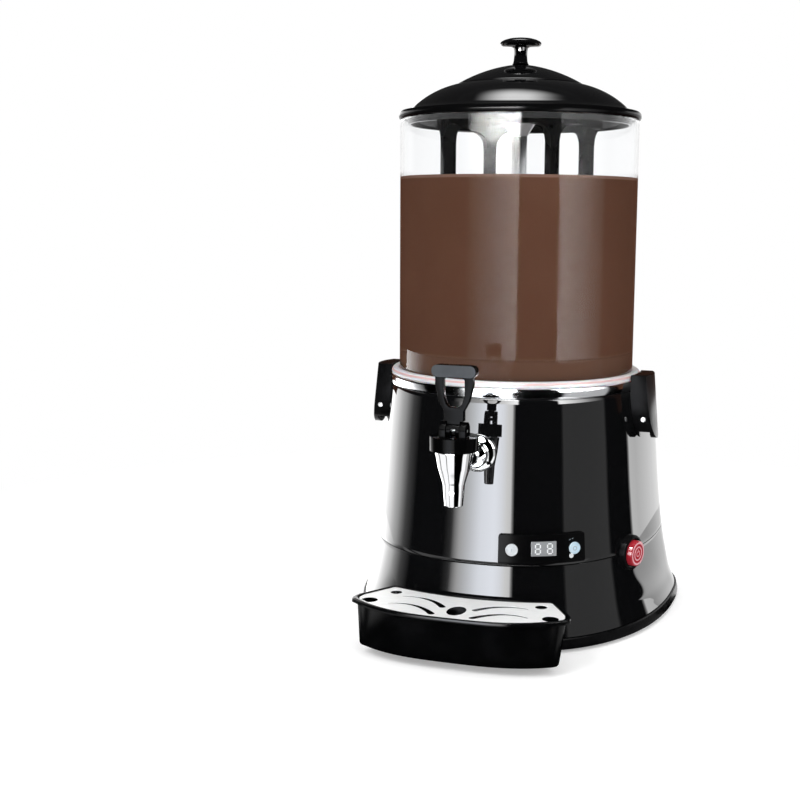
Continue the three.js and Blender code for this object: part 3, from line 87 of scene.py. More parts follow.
def new_group(name, inputs, outputs):
    tree = bpy.data.node_groups.new(name, "ShaderNodeTree")
    kinds = {"value": "NodeSocketFloat", "colour": "NodeSocketColor", "vector": "NodeSocketVector"}
    for label, kind, default in inputs:
        socket = tree.interface.new_socket(label, in_out="INPUT", socket_type=kinds[kind])
        if default is not None:
            socket.default_value = default
    for label, kind in outputs:
        tree.interface.new_socket(label, in_out="OUTPUT", socket_type=kinds[kind])
    return tree, tree.nodes.new("NodeGroupInput"), tree.nodes.new("NodeGroupOutput")


def wire_node(tree, kind, settings=None, **inputs):
    """A node; i0 is its first input, and other names are the inputs' labels."""
    node = tree.nodes.new("ShaderNode" + kind)
    for key, value in (settings or {}).items():
        setattr(node, key, value)
    for key, value in inputs.items():
        numbered = key[0] == "i" and key[1:].isdigit()
        socket = node.inputs[int(key[1:]) if numbered else key]
        if isinstance(value, bpy.types.NodeSocket):
            tree.links.new(value, socket)
        else:
            socket.default_value = value
    return node


def maths(tree, operation, *values, clamp=False):
    inputs = {f"i{number}": value for number, value in enumerate(values)}
    return wire_node(tree, "Math", {"operation": operation, "use_clamp": clamp},
                     **inputs).outputs[0]


def blended(tree, share, first, second):
    return wire_node(tree, "Mix", {"data_type": "RGBA"}, i0=share, i6=first, i7=second).outputs[2]


FINISH_INPUTS = [
    ("Place", "vector", None), ("Scale", "value", 100.0),
    ("Colour", "colour", (0.5, 0.5, 0.5, 1)), ("Second colour", "colour", (0.4, 0.4, 0.4, 1)),
    ("Least roughness", "value", 0.1), ("Most roughness", "value", 0.3),
]
FINISH_OUTPUTS = [("Colour", "colour"), ("Roughness", "value"), ("Height", "value")]


def finish_group(name, pattern):
    """A finish: pattern gives a mask for colour, a mask for roughness and a height."""
    tree, start, end = new_group(name, FINISH_INPUTS, FINISH_OUTPUTS)
    tint, rough, height = pattern(tree, start.outputs["Place"], start.outputs["Scale"])
    colour = blended(tree, tint, start.outputs["Colour"], start.outputs["Second colour"])
    spread = wire_node(tree, "MapRange", i0=rough,
                       i3=start.outputs["Least roughness"], i4=start.outputs["Most roughness"])
    tree.links.new(colour, end.inputs["Colour"])
    tree.links.new(spread.outputs[0], end.inputs["Roughness"])
    tree.links.new(height, end.inputs["Height"])
    return tree


def noise(tree, place, scale, detail, rough, share=1.0):
    """Noise at a share of the finish's own scale."""
    size = scale if share == 1.0 else maths(tree, "MULTIPLY", scale, share)
    return wire_node(tree, "TexNoise", Vector=place, Scale=size, Detail=detail,
                     Roughness=rough).outputs["Fac"]


def band(tree, value, low, high):
    """0 at low and 1 at high, smooth between them; low may be the larger of the two."""
    return wire_node(tree, "MapRange", {"interpolation_type": "SMOOTHSTEP"}, i0=value,
                     i1=low, i2=high).outputs[0]


def polished_pattern(tree, place, scale):
    """Wiped gloss: faint smears in the shine and a shallow orange peel."""
    smears = band(tree, noise(tree, place, scale, 4.0, 0.6), 0.42, 0.7)
    dust = band(tree, noise(tree, place, scale, 2.0, 0.7, 9.0), 0.66, 0.82)
    peel = noise(tree, place, scale, 1.0, 0.4, 5.0)
    return dust, smears, peel


def grained_pattern(tree, place, scale):
    """Spark-eroded moulding grain with slightly rubbed patches."""
    cells = wire_node(tree, "TexVoronoi", {"feature": "SMOOTH_F1"}, Vector=place,
                      Scale=scale).outputs["Distance"]
    rubbed = band(tree, noise(tree, place, scale, 3.0, 0.6, 0.03), 0.4, 0.7)
    return rubbed, rubbed, cells


def brushed_pattern(tree, place, scale):
    """Fine lines along one direction; the material's Mapping stretches them."""
    lines = noise(tree, place, scale, 3.0, 0.7)
    worn = band(tree, noise(tree, place, scale, 2.0, 0.5, 0.08), 0.4, 0.75)
    return band(tree, lines, 0.35, 0.7), lines, maths(tree, "MULTIPLY_ADD", lines, 0.8, worn)


def milky_pattern(tree, place, scale):
    """Cloudy depth in silicone and drink."""
    cloud = noise(tree, place, scale, 3.0, 0.55)
    return band(tree, cloud, 0.35, 0.65), cloud, noise(tree, place, scale, 2.0, 0.5, 6.0)


POLISHED = finish_group("polished_and_wiped", polished_pattern)
GRAINED = finish_group("moulding_grain", grained_pattern)
BRUSHED = finish_group("brushed_lines", brushed_pattern)
MILKY = finish_group("milky_depth", milky_pattern)


def finish(name, group, slot, colour, second, roughness, scale, bump, depth=0.0001,
           stretch=(1, 1, 1), **shader_sockets):
    """A material of a finish group; its slot names the real material, and depth is in metres."""
    material = bpy.data.materials.new(name)
    material.use_nodes = True
    tree = material.node_tree
    shader = tree.nodes["Principled BSDF"]
    where = wire_node(tree, "TexCoord").outputs["Object"]
    mapped = wire_node(tree, "Mapping", Vector=where, Scale=stretch).outputs[0]
    node = tree.nodes.new("ShaderNodeGroup")
    node.node_tree = group
    tree.links.new(mapped, node.inputs["Place"])
    for (label, _, _), value in zip(FINISH_INPUTS[1:], (scale, (*colour, 1), (*second, 1),
                                                        *roughness)):
        node.inputs[label].default_value = value
    tree.links.new(node.outputs["Colour"], shader.inputs["Base Color"])
    tree.links.new(node.outputs["Roughness"], shader.inputs["Roughness"])
    if bump:
        relief = wire_node(tree, "Bump", Strength=bump, Distance=depth,
                           Height=node.outputs["Height"])
        tree.links.new(relief.outputs["Normal"], shader.inputs["Normal"])
    for socket, value in shader_sockets.items():
        shader.inputs[socket.replace("_", " ")].default_value = value
    if slot:
        material["slot"] = slot
    return material


enamel = finish(
    "gloss_black_enamel", POLISHED, "gloss_black", (0.0035, 0.0036, 0.004), (0.006, 0.006, 0.0065),
    (0.012, 0.03), 9, bump=0.02, depth=0.0002)
gloss_plastic = finish(
    "gloss_black_plastic", POLISHED, "gloss_black", (0.0025, 0.0025, 0.0028),
    (0.0045, 0.0045, 0.005), (0.03, 0.07), 22, bump=0.03)
satin_plastic = finish(
    "satin_black_plastic", GRAINED, "satin_black", (0.003, 0.003, 0.0033), (0.005, 0.005, 0.0055),
    (0.26, 0.36), 1400, bump=0.15, depth=0.00003, Specular_IOR_Level=0.03)
satin_tray = finish(
    "tray_black_plastic", GRAINED, "satin_black", (0.0014, 0.0015, 0.0017),
    (0.0025, 0.0026, 0.0029), (0.12, 0.2), 1300, bump=0.06, depth=0.00003, Specular_IOR_Level=0.15)
dark_bars = finish(
    "agitator_black_plastic", GRAINED, "satin_black", (0.006, 0.006, 0.0065),
    (0.011, 0.011, 0.012), (0.22, 0.34), 1100, bump=0.15, depth=0.00003, Specular_IOR_Level=0.15)
plate_plastic = finish(
    "handle_plate_plastic", GRAINED, "satin_black", (0.0085, 0.0088, 0.0095),
    (0.013, 0.013, 0.014), (0.3, 0.4), 1400, bump=0.15, depth=0.00003, Specular_IOR_Level=0.3)
lever_plastic = finish(
    "lever_black_plastic", POLISHED, "gloss_black", (0.0015, 0.0015, 0.0017),
    (0.003, 0.003, 0.0033), (0.1, 0.16), 22, bump=0.02, Specular_IOR_Level=0.02)
# Grey painted on the front-facing faces of the lever's top: a painted reflection on the same gloss
# black plastic.
lever_painted_reflection = finish(
    "lever_grey_painted_reflection", GRAINED, "gloss_black", (0.062, 0.067, 0.074), (0.05, 0.054, 0.06),
    (0.35, 0.45), 1400, bump=0.05, depth=0.00002, Specular_IOR_Level=0.05)
panel_plastic = finish(
    "panel_black_plastic", POLISHED, "gloss_black", (0.0025, 0.0025, 0.0027),
    (0.004, 0.004, 0.0043), (0.16, 0.22), 20, bump=0.0, Specular_IOR_Level=0.03)
rubber = finish(
    "foot_rubber", GRAINED, "rubber", (0.012, 0.012, 0.012), (0.02, 0.02, 0.02), (0.75, 0.9), 900,
    bump=0.35, depth=0.00008)
chrome = finish(
    "polished_chrome", POLISHED, "chrome", (0.88, 0.885, 0.9), (0.8, 0.8, 0.81), (0.02, 0.06), 40,
    bump=0.015, Metallic=1.0)
rim_steel = finish(
    "polished_rim_steel", POLISHED, "chrome", (0.72, 0.73, 0.75), (0.66, 0.67, 0.69), (0.08, 0.16),
    30, bump=0.02, Metallic=1.0)
grid_steel = finish(
    "satin_grid_steel", BRUSHED, "steel", (0.94, 0.945, 0.94), (0.86, 0.865, 0.86), (0.42, 0.55),
    60, bump=0.06, depth=0.00005, stretch=(1, 14, 14), Metallic=0.35)
satin_steel = finish(
    "satin_steel", BRUSHED, "steel", (0.62, 0.63, 0.64), (0.54, 0.55, 0.56), (0.22, 0.36), 80,
    bump=0.06, depth=0.00005, stretch=(12, 12, 1), Metallic=1.0)
screw_steel = finish(
    "bright_screw_steel", POLISHED, "steel", (0.82, 0.825, 0.83), (0.7, 0.705, 0.71), (0.3, 0.4),
    200, bump=0.02, Metallic=0.3)
plated = finish(
    "zinc_plated_sheet", BRUSHED, "plated", (0.4, 0.42, 0.44), (0.33, 0.35, 0.38), (0.3, 0.45), 90,
    bump=0.08, depth=0.00005, stretch=(1, 8, 8), Metallic=1.0)
bronze = finish(
    "sintered_bronze", GRAINED, "bronze", (0.4, 0.22, 0.08), (0.3, 0.16, 0.06), (0.35, 0.5), 1500,
    bump=0.2, depth=0.00003, Metallic=1.0)
silicone = finish(
    "pale_silicone", MILKY, "silicone", (0.8, 0.74, 0.74), (0.72, 0.62, 0.63), (0.25, 0.4), 60,
    bump=0.05, Subsurface_Weight=0.3)
pink_seal = finish(
    "pink_silicone_lip", MILKY, "silicone", (0.66, 0.4, 0.4), (0.74, 0.5, 0.5), (0.25, 0.4), 60,
    bump=0.05)
board_green = finish(
    "circuit_board_lacquer", POLISHED, "board", (0.014, 0.1, 0.04), (0.02, 0.14, 0.05),
    (0.2, 0.35), 120, bump=0.1)
button_grey = finish(
    "pale_button_plastic", GRAINED, "button", (0.74, 0.76, 0.78), (0.6, 0.63, 0.66), (0.3, 0.42),
    1600, bump=0.1, depth=0.00003)
button_blue = finish(
    "lit_button_plastic", GRAINED, "button", (0.66, 0.8, 0.88), (0.5, 0.68, 0.8), (0.25, 0.38),
    1600, bump=0.1, depth=0.00003)
button_mark = finish(
    "printed_grey_mark", GRAINED, "button", (0.3, 0.36, 0.4), (0.36, 0.42, 0.46), (0.4, 0.5), 1600,
    bump=0.05, depth=0.00002)
white_nylon = finish(
    "white_nylon", GRAINED, "white", (0.7, 0.7, 0.66), (0.62, 0.62, 0.58), (0.4, 0.55), 1200,
    bump=0.15, depth=0.00003)
cone_white = finish(
    "white_cone_plastic", POLISHED, "steel", (0.8, 0.81, 0.82), (0.7, 0.71, 0.72), (0.15, 0.25),
    60, bump=0.03)
display_grey = finish(
    "grey_display_pane", POLISHED, "display", (0.3, 0.31, 0.32), (0.4, 0.41, 0.42), (0.06, 0.12),
    160, bump=0.02)
digit_pale = finish(
    "pale_digit", POLISHED, "display", (0.72, 0.73, 0.74), (0.62, 0.63, 0.65), (0.3, 0.4), 300,
    bump=0.02, Emission_Color=(0.8, 0.83, 0.86, 1), Emission_Strength=0.15)
lamp_pale = finish(
    "pale_lamp_lens", POLISHED, "button", (0.75, 0.78, 0.8), (0.62, 0.66, 0.7), (0.1, 0.2), 300,
    bump=0.02)
lit_red = finish(
    "lit_red_cap", POLISHED, "red", (0.36, 0.02, 0.032), (0.26, 0.014, 0.022), (0.08, 0.16), 120,
    bump=0.03, Emission_Color=(0.9, 0.04, 0.07, 1), Emission_Strength=0.08)
lit_pink = finish(
    "lit_pink_rings", POLISHED, "red", (0.7, 0.36, 0.4), (0.74, 0.46, 0.5), (0.12, 0.22), 120,
    bump=0.03, Emission_Color=(1, 0.5, 0.56, 1), Emission_Strength=0.1)


def clear_plastic(name, tint):
    """Clear to look through; the tint dims what its face mirrors."""
    return finish(name, POLISHED, "clear", (0.985, 0.99, 0.995), (0.97, 0.975, 0.98), (0.006, 0.02),
                  12, bump=0.0, Transmission_Weight=1.0, IOR=1.4,
                  Specular_Tint=(tint, tint, tint, 1))


clear_wall = clear_plastic("clear_polycarbonate", 0.18)
clear_foot = clear_plastic("clear_thick_foot", 0.04)


# Heights in metres between which the drink turns paler: a painted reflection below the top of the
# tank's thick foot, and a painted highlight along the drink's top edge.
FOOT_PAINTED_REFLECTION_HEIGHTS, RIM_PAINTED_HIGHLIGHT_HEIGHTS = (0.2735, 0.2705), (0.4398, 0.4412)


def chocolate():
    """Drinking chocolate: painted paler through the thick foot of the tank, a painted reflection,
    and along its upper edge, a painted highlight.
    """
    material = finish("drinking_chocolate", MILKY, None, (0.132, 0.063, 0.04),
                      (0.125, 0.059, 0.037), (0.5, 0.6), 14, bump=0.0, Specular_IOR_Level=0.0)
    tree = material.node_tree
    shader = tree.nodes["Principled BSDF"]
    group = next(n for n in tree.nodes if n.type == "GROUP")
    where = wire_node(tree, "TexCoord").outputs["Object"]
    height = wire_node(tree, "SeparateXYZ", Vector=where).outputs["Z"]
    # The two bands paint light into the colour: a painted reflection low down and a painted
    # highlight at the top edge.
    foot = band(tree, height, *FOOT_PAINTED_REFLECTION_HEIGHTS)
    rim = band(tree, height, *RIM_PAINTED_HIGHLIGHT_HEIGHTS)
    paler = blended(tree, foot, group.outputs["Colour"], (0.15, 0.08, 0.054, 1))
    tree.links.new(blended(tree, rim, paler, (0.24, 0.14, 0.105, 1)), shader.inputs["Base Color"])
    return material


drink_brown = chocolate()


# ---- Shaping ----

def turn_outwards(bm):
    bmesh.ops.recalc_face_normals(bm, faces=bm.faces[:])


def verts_among(made):
    return [g for g in made if isinstance(g, bmesh.types.BMVert)]


def add_outline(bm, places, closed=True):
    corners = [bm.verts.new(place) for place in places]
    for first, second in zip(corners, corners[1:] + (corners[:1] if closed else [])):
        bm.edges.new((first, second))


def outline_in_section(points, closed):
    bm = bmesh.new()
    add_outline(bm, [(radius, 0, height) for radius, height in points], closed)
    return bm


def turned(points, steps=96, closed=None):
    """A section spun about the Z axis. It is closed on itself unless it starts on the axis."""
    if closed is None:
        closed = points[0][0] > 0
    bm = outline_in_section(points, closed)
    bmesh.ops.spin(bm, geom=bm.verts[:] + bm.edges[:], cent=(0, 0, 0), axis=(0, 0, 1),
                   angle=FULL_TURN, steps=steps, use_merge=True)
    bmesh.ops.remove_doubles(bm, verts=bm.verts[:], dist=0.002)
    turn_outwards(bm)
    return bm


def round_edges(bm, edges, width, segments):
    bmesh.ops.bevel(bm, geom=edges, offset=width, offset_type="OFFSET", segments=segments,
                    profile=0.5, affect="EDGES", clamp_overlap=True, material=-1)


def soften(bm, width, least=32.0, segments=2):
    """Rounds the edges that turn by more than the least angle, in degrees."""
    edges = [e for e in bm.edges if len(e.link_faces) == 2
             and e.calc_face_angle(0) > math.radians(least)]
    round_edges(bm, edges, width, segments)
    return bm


def rounded_bar(length, depth, height, corner):
    bm = bmesh.new()
    bmesh.ops.create_cube(bm, size=1)
    bmesh.ops.scale(bm, vec=(length, depth, height), verts=bm.verts[:])
    return soften(bm, corner, segments=3)


def drawn(levels, count, ends=False):
    """A skin drawn from level to level; each level gives the place of a share of the outline."""
    bm = bmesh.new()
    share = bm.verts.layers.float.new("share")
    ring = bmesh.ops.create_circle(bm, cap_ends=False, radius=1, segments=count)["verts"]
    for i, vert in enumerate(ring):
        vert[share] = i / count
        vert.co = levels[0](i / count)
    first_edges = bm.edges[:]
    edges = first_edges
    for level in levels[1:]:
        made = bmesh.ops.extrude_edge_only(bm, edges=edges)["geom"]
        verts = set(verts_among(made))
        for vert in verts:
            vert.co = level(vert[share])
        edges = [g for g in made if isinstance(g, bmesh.types.BMEdge) and set(g.verts) <= verts]
    if ends:
        for loop in (first_edges, edges):
            bmesh.ops.edgeloop_fill(bm, edges=loop)
    else:
        bmesh.ops.bridge_loops(bm, edges=first_edges + edges)
    turn_outwards(bm)
    return bm


def from_node(node):
    """A merged copy of a CAD node's mesh with its flat faces whole again, in millimetres."""
    bm = bmesh.new()
    bm.from_mesh(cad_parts[node].data)
    bm.transform(ON_TANK.inverted())
    bmesh.ops.remove_doubles(bm, verts=bm.verts[:], dist=0.01)
    bmesh.ops.dissolve_limit(bm, angle_limit=math.radians(1), verts=bm.verts[:],
                             edges=bm.edges[:], delimit=set())
    return bm


def mesh_object(bm, name, material):
    mesh = bpy.data.meshes.new(name)
    bm.to_mesh(mesh)
    bm.free()
    mesh.materials.append(material)
    return add_object(name, mesh)


def piece(bm, name, body, material, stands_for=(), place=ON_TANK, sharp=38.0):
    """A finished piece on a body; it stands for the CAD nodes named, or adds to them."""
    bm.transform(place)
    if place.determinant() < 0:
        bmesh.ops.reverse_faces(bm, faces=bm.faces[:])
    made = mesh_object(bm, name, material)
    for polygon in made.data.polygons:
        polygon.use_smooth = True
    made.data.set_sharp_from_angle(angle=math.radians(sharp))
    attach(made, body)
    if stands_for:
        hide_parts(*stands_for)
    return made


def second_look(made, material, chosen):
    """Gives the chosen faces of a piece another material."""
    made.data.materials.append(material)
    for polygon in made.data.polygons:
        if chosen(polygon):
            polygon.material_index = 1


def bulged(start, end, swell, steps):
    """Points on a shallow bow between two points of a section, without the first."""
    run = Vector(end) - Vector(start)
    away = Vector((run.y, -run.x)).normalized()
    return [tuple(Vector(start) + run * t + away * (4 * swell * t * (1 - t)))
            for t in (i / steps for i in range(1, steps + 1))]


# ---- The casing's plan: two half ovals, wider towards the foot ----

# Shares of the height, and how far the plan goes there from the deck's to the foot's.
FLARE = [(0, 1), (0.042, 0.944), (0.072, 0.86), (0.127, 0.72), (0.2, 0.61), (0.322, 0.458),
         (0.564, 0.278), (0.758, 0.167), (1, 0)]
DECK_HEIGHT = 236
DECK_PLAN = (133, 45, 131, 145)
FOOT_PLAN = (165, 62, 162, 207)
OVAL_POWER = 2.3
CASING_SEGMENTS = 176


def flare_at(height):
    """The flare's share, smooth through the levels and never steeper than its neighbours allow."""
    share = min(max(height / DECK_HEIGHT, 0), 1)
    slopes = [(b[1] - a[1]) / (b[0] - a[0]) for a, b in zip(FLARE, FLARE[1:])]
    bends = [slopes[0]] + [2 / (1 / a + 1 / b) for a, b in zip(slopes, slopes[1:])] + [slopes[-1]]
    k = next(i for i in range(len(slopes)) if share <= FLARE[i + 1][0])
    span = FLARE[k + 1][0] - FLARE[k][0]
    t = (share - FLARE[k][0]) / span
    return ((2 * t ** 3 - 3 * t ** 2 + 1) * FLARE[k][1]
            + (t ** 3 - 2 * t ** 2 + t) * span * bends[k]
            + (3 * t ** 2 - 2 * t ** 3) * FLARE[k + 1][1]
            + (t ** 3 - t ** 2) * span * bends[k + 1])


def casing_plan(height):
    """Half width, place of the widest point, and reach to the front and to the back."""
    flare = flare_at(height)
    return [deck + (foot - deck) * flare for deck, foot in zip(DECK_PLAN, FOOT_PLAN)]


def casing_level(height, grow=0.0, at=None):
    half, middle, front, back = casing_plan(height)

    def place(share):
        turn = share * FULL_TURN
        across, along = (math.copysign(abs(v) ** (2 / OVAL_POWER), v)
                         for v in (math.cos(turn), math.sin(turn)))
        depth = back - middle if along > 0 else front + middle
        return Vector(((half + grow) * across, middle + (depth + grow) * along,
                       height if at is None else at))
    return place


def round_level(radius, height):
    return lambda share: Vector((radius * math.cos(share * FULL_TURN),
                                 radius * math.sin(share * FULL_TURN), height))


def casing_radius(azimuth, height):
    """How far the casing's face is from the tank's axis, by halving. Azimuth 0 is the front."""
    half, middle, front, back = casing_plan(height)
    sx, sy = math.sin(math.radians(azimuth)), -math.cos(math.radians(azimuth))
    near, far = 0.0, 420.0
    for _ in range(34):
        radius = (near + far) / 2
        y = radius * sy - middle
        depth = back - middle if y > 0 else front + middle
        if abs(radius * sx / half) ** OVAL_POWER + abs(y / depth) ** OVAL_POWER > 1:
            far = radius
        else:
            near = radius
    return near


def on_casing(azimuth, height, stand):
    radius = casing_radius(azimuth, height) + stand
    return Vector((radius * math.sin(math.radians(azimuth)),
                   -radius * math.cos(math.radians(azimuth)), height))


def on_face(azimuth, height, out=0.0):
    """A place on the casing's face, or out from it, where a piece's own Z axis points outwards."""
    radius = casing_radius(azimuth, height) + out
    return ON_TANK @ (Matrix.Translation((0, 0, height))
                      @ Matrix.Rotation(math.radians(azimuth), 4, "Z")
                      @ Matrix.Rotation(math.pi / 2, 4, "X") @ Matrix.Translation((0, 0, radius)))


# ---- Base and casing ----

def make_base():
    bulge = [(3, 0.2), (3.6, 0.9), (5.5, 1.5), (8, 1.9), (10.5, 2.0), (12.3, 1.8), (13, 1.1)]
    levels = [casing_level(13 if height > 9 else 3 + (height - 3) * 1.6, grow, height)
              for height, grow in bulge]
    levels += [casing_level(13, grow, at) for grow, at in
               ((-6, 13), (-6, 7.7), (-16, 7.7), (-16, 3))]
    piece(drawn(levels, CASING_SEGMENTS), "base_band", "machine", satin_plastic, ["base_ring"])
    for side in (-1, 1):
        for end, x, y in (("front", 92, -78), ("back", 88, 138)):
            foot = turned([(0, 0), (10.2, 0), (11, 0.9), (10.6, 3), (9.5, 7.4), (3, 7.7), (3, 10.3),
                           (4.6, 10.3), (4.3, 11.4), (3, 13.3), (0, 13.3)], steps=40)
            hand = "left" if side < 0 else "right"
            piece(foot, f"rubber_foot_{end}_{hand}", "machine", rubber, [f"foot_{end}_{hand}"],
                  ON_TANK @ Matrix.Translation((side * x, y, 0)))


def make_casing():
    wall = 2.5
    low = [13.3 + (79.7 - 13.3) * i / 22 for i in range(23)]
    outer = [casing_level(low[0], -0.4)] + [casing_level(z) for z in [low[0] + 0.4] + low[1:-1]]
    outer += [casing_level(79.3), casing_level(79.62, -0.12), casing_level(79.7, -0.4)]
    inner = [casing_level(z, -wall) for z in reversed(low)]
    piece(drawn(outer + inner, CASING_SEGMENTS), "flared_skirt", "machine", enamel,
          ["lower_housing"], sharp=50)
    high = [80.3 + (234.5 - 80.3) * i / 40 for i in range(41)]
    outer = [casing_level(80.3, -0.4), casing_level(80.38, -0.12), casing_level(80.7)]
    outer += [casing_level(z) for z in high[1:]]
    outer += [casing_level(DECK_HEIGHT, grow, at) for grow, at in
              ((-0.12, 235.1), (-0.45, 235.6), (-0.9, 235.88), (-1.5, 236))]
    deck = [round_level(124.9, 236), round_level(124.9, 233.5)]
    inner = [casing_level(z, -wall, min(z, 233.5)) for z in reversed(high)]
    piece(drawn(outer + deck + inner, CASING_SEGMENTS), "tapered_body", "machine", enamel,
          ["upper_housing"], sharp=50)


make_base()
make_casing()


# ---- Bowl rim, gasket, tank and drink ----

TANK_FOOT_TOP = 271.3


def make_tank():
    rim = turned([(127.2, 236.3), (128.8, 236.3), (128.8, 243.9), (128.5, 244.8), (127.7, 245.3),
                  (123.3, 245.3), (123, 245), (123, 243.9), (123.3, 243.7), (127.2, 243.7)], 144)
    piece(soften(rim, 0.25), "steel_rim", "machine", rim_steel, ["rim_ring"])
    gasket = turned([(112.3, 239.9), (126.6, 239.9), (126.6, 243.4), (122.7, 243.6), (122.7, 245.6),
                     (126.9, 245.6), (127.4, 246.1), (127.4, 247.6), (127.1, 248.3), (125.6, 250.9),
                     (124.9, 251.3), (120.0, 251.3), (120.0, 243.3), (112.3, 243.3)], 144)
    piece(soften(gasket, 0.2), "gasket_ring", "machine", silicone, ["tank_gasket"])
    lip = turned([(126.95, 248.55), (127.35, 248.75), (126.45, 250.2), (126.05, 250.0)], 144)
    piece(lip, "gasket_lip", "machine", pink_seal)
    wall = turned([(119.5, 243.9), (119.5, TANK_FOOT_TOP), (119.5, 498), (119.5, 498.4),
                   (119.2, 499.1), (118.6, 499.3), (116.9, 499.3), (116.2, 499.1), (116, 498.4),
                   (116, 498), (116, TANK_FOOT_TOP), (114.5, 269.4), (114.5, 243.6),
                   (119.2, 243.6)], 160)
    made = piece(wall, "clear_tank", "tank", clear_wall, ["tank"], sharp=14)
    second_look(made, clear_foot, lambda p: p.center.z < TANK_FOOT_TOP * MILLIMETRE)
    drink = turned([(0, 244.2), (114.7, 244.2), (114.7, 269.3), (116.2, 271.1), (116.2, 443),
                    (115.6, 443.3), (114.2, 442.6), (111.5, 442.2), (0, 442.2)], 160)
    piece(drink, "drink", "tank", drink_brown, sharp=24)


make_tank()


# ---- Lid and its knob ----

def make_lid():
    under = 499.6
    shoulder, ridge, step, crown = (108, 511), (63, 534), (61.8, 535.2), (8, 553.6)
    bottom = [(113.2, under), (119.2, under), (120.3, 500.4), (120.9, 501.8), (121, 503.1),
              (120.8, 504.6), (120.2, 505.8), (119.2, 506.6), (115, 507.3), (111.2, 508.6)]
    outer = bulged(shoulder, ridge, 3.5, 18) + [(62.7, 534.5), (62.2, 535.0), step]
    outer += bulged(step, crown, 2.6, 16)
    inner = bulged((8, 550.6), (61.8, 532.2), -2.6, 8) + bulged((63, 531), (106, 508), -3.5, 8)
    skirt = [(109, 503), (109, 494.3), (109.5, 494), (111.6, 494), (112, 494.3), (112, 499.2),
             (112.3, under)]
    dome = [(3.3, 550.6), (8, 550.6), *inner, *skirt, *bottom, shoulder, *outer, (3.3, 553.6)]
    piece(turned(dome, 144), "lid_dome", "lid", gloss_plastic, ["lid"])
    bead = turned([(118.6, 499.3), (119.3, 499.3), (120.5, 500.1), (121.2, 501.7), (121.3, 503.1),
                   (121.1, 504.7), (120.4, 506.1), (119.3, 507.0), (118.6, 506.6)], 144)
    piece(bead, "lid_bead", "lid", panel_plastic)
    knob = turned([(0, 545.9), (2.6, 545.9), (3, 546.3), (3, 553.9), (7.6, 553.9), (8.4, 554.3),
                   (7.6, 555.2), (6.9, 557.5), (6.5, 562.4), (6.8, 567.5), (7.6, 570.2), (9.5, 571),
                   (17.6, 571.3), (19.6, 572.2), (20.5, 573.7), (20.3, 575.2), (19.2, 576.4),
                   (16.5, 577.7), (12.4, 578.9), (7, 579.7), (0, 580)], 72)
    piece(knob, "knob", "lid", gloss_plastic, ["lid_knob"])


make_lid()


# ---- Agitator ----

def make_agitator():
    piece(soften(from_node("agitator_cage"), 0.8, 40), "agitator_bars", "agitator", dark_bars,
          ["agitator_cage"])
    pipe = turned([(6.5, 170), (8, 170), (8, 484), (6.5, 484)], 48)
    piece(soften(pipe, 0.3), "agitator_pipe", "agitator", satin_steel, ["agitator_tube"])
    cone = turned([(3.8, 484.3), (7.9, 484.3), (8.4, 484.7), (15.7, 495.9), (16, 496.6),
                   (15.6, 497), (0, 497), (0, 492.3), (3.8, 492.3)], 64, closed=False)
    bmesh.ops.bridge_loops(cone, edges=[e for e in cone.edges if e.is_boundary])
    piece(cone, "cone_cap", "agitator", cone_white, ["cone_nut"])


make_agitator()


# ---- Tap ----

TAP_HEIGHT = 185
# Height in metres above which the lever's front faces carry the painted grey reflection.
LEVER_PAINTED_REFLECTION_FOOT = 266.8 * MILLIMETRE


def make_tap():
    spout = turned([(5.5, 150.8), (7.8, 150.8), (8.4, 151.4), (8.8, 156), (9.6, 165), (10.0, 170.4),
                    (10.4, 171.4), (10.9, 173.5), (13.0, 180.5), (14.0, 183.6), (14.5, 185.4),
                    (16.6, 197.0), (17.2, 199.2), (17.3, 200.3), (16.9, 200.7), (13, 200.7),
                    (13, 208), (9, 208), (9, 178), (5.5, 178)], 80)
    piece(spout, "spout", "machine", chrome, ["tap_body"], ON_TAP)
    shank = turned([(5, 0), (8, 0), (8, 107), (5, 107)], 48)
    inwards = (ON_TAP @ Matrix.Translation((0, 9.6, TAP_HEIGHT))
               @ Matrix.Rotation(-math.pi / 2, 4, "X"))
    piece(shank, "tap_shank", "machine", chrome, place=inwards)
    collar = soften(from_node("tap_bonnet"), 0.7, 35, 3)
    piece(collar, "tap_collar", "machine", lever_plastic, ["tap_bonnet"])
    lever = soften(from_node("tap_handle"), 1.9, 35, 4)
    made = piece(lever, "lever", "tap_lever", lever_plastic, ["tap_handle"])
    # The lever's front-facing faces above that height get the painted reflection.
    second_look(made, lever_painted_reflection, lambda p: p.normal.y < -0.9 and p.center.z > LEVER_PAINTED_REFLECTION_FOOT)
    flange = turned([(8.3, 0.3), (17.4, 0.3), (18, 0.9), (17.9, 2.2), (17.2, 3.4), (15, 4.9),
                     (12.6, 6.2), (11.9, 7), (11.5, 8), (11.5, 12.2), (10.9, 13), (8.3, 13)], 80)
    piece(flange, "tap_rosette", "machine", chrome, ["tap_flange"], on_face(0, TAP_HEIGHT))


make_tap()


# ---- Control panel ----

def casing_pad(azimuths, heights, inner, outer, columns, rows):
    """A pad that follows the casing, from a grid drawn out from its inner to its outer face."""
    bm = bmesh.new()
    bmesh.ops.create_grid(bm, x_segments=columns, y_segments=rows, size=0.5)
    front = set(verts_among(bmesh.ops.extrude_face_region(bm, geom=bm.faces[:])["geom"]))
    for vert in bm.verts:
        azimuth = azimuths[0] + (azimuths[1] - azimuths[0]) * (vert.co.x + 0.5)
        height = heights[0] + (heights[1] - heights[0]) * (vert.co.y + 0.5)
        vert.co = on_casing(azimuth, height, outer if vert in front else inner)
    turn_outwards(bm)
    return bm


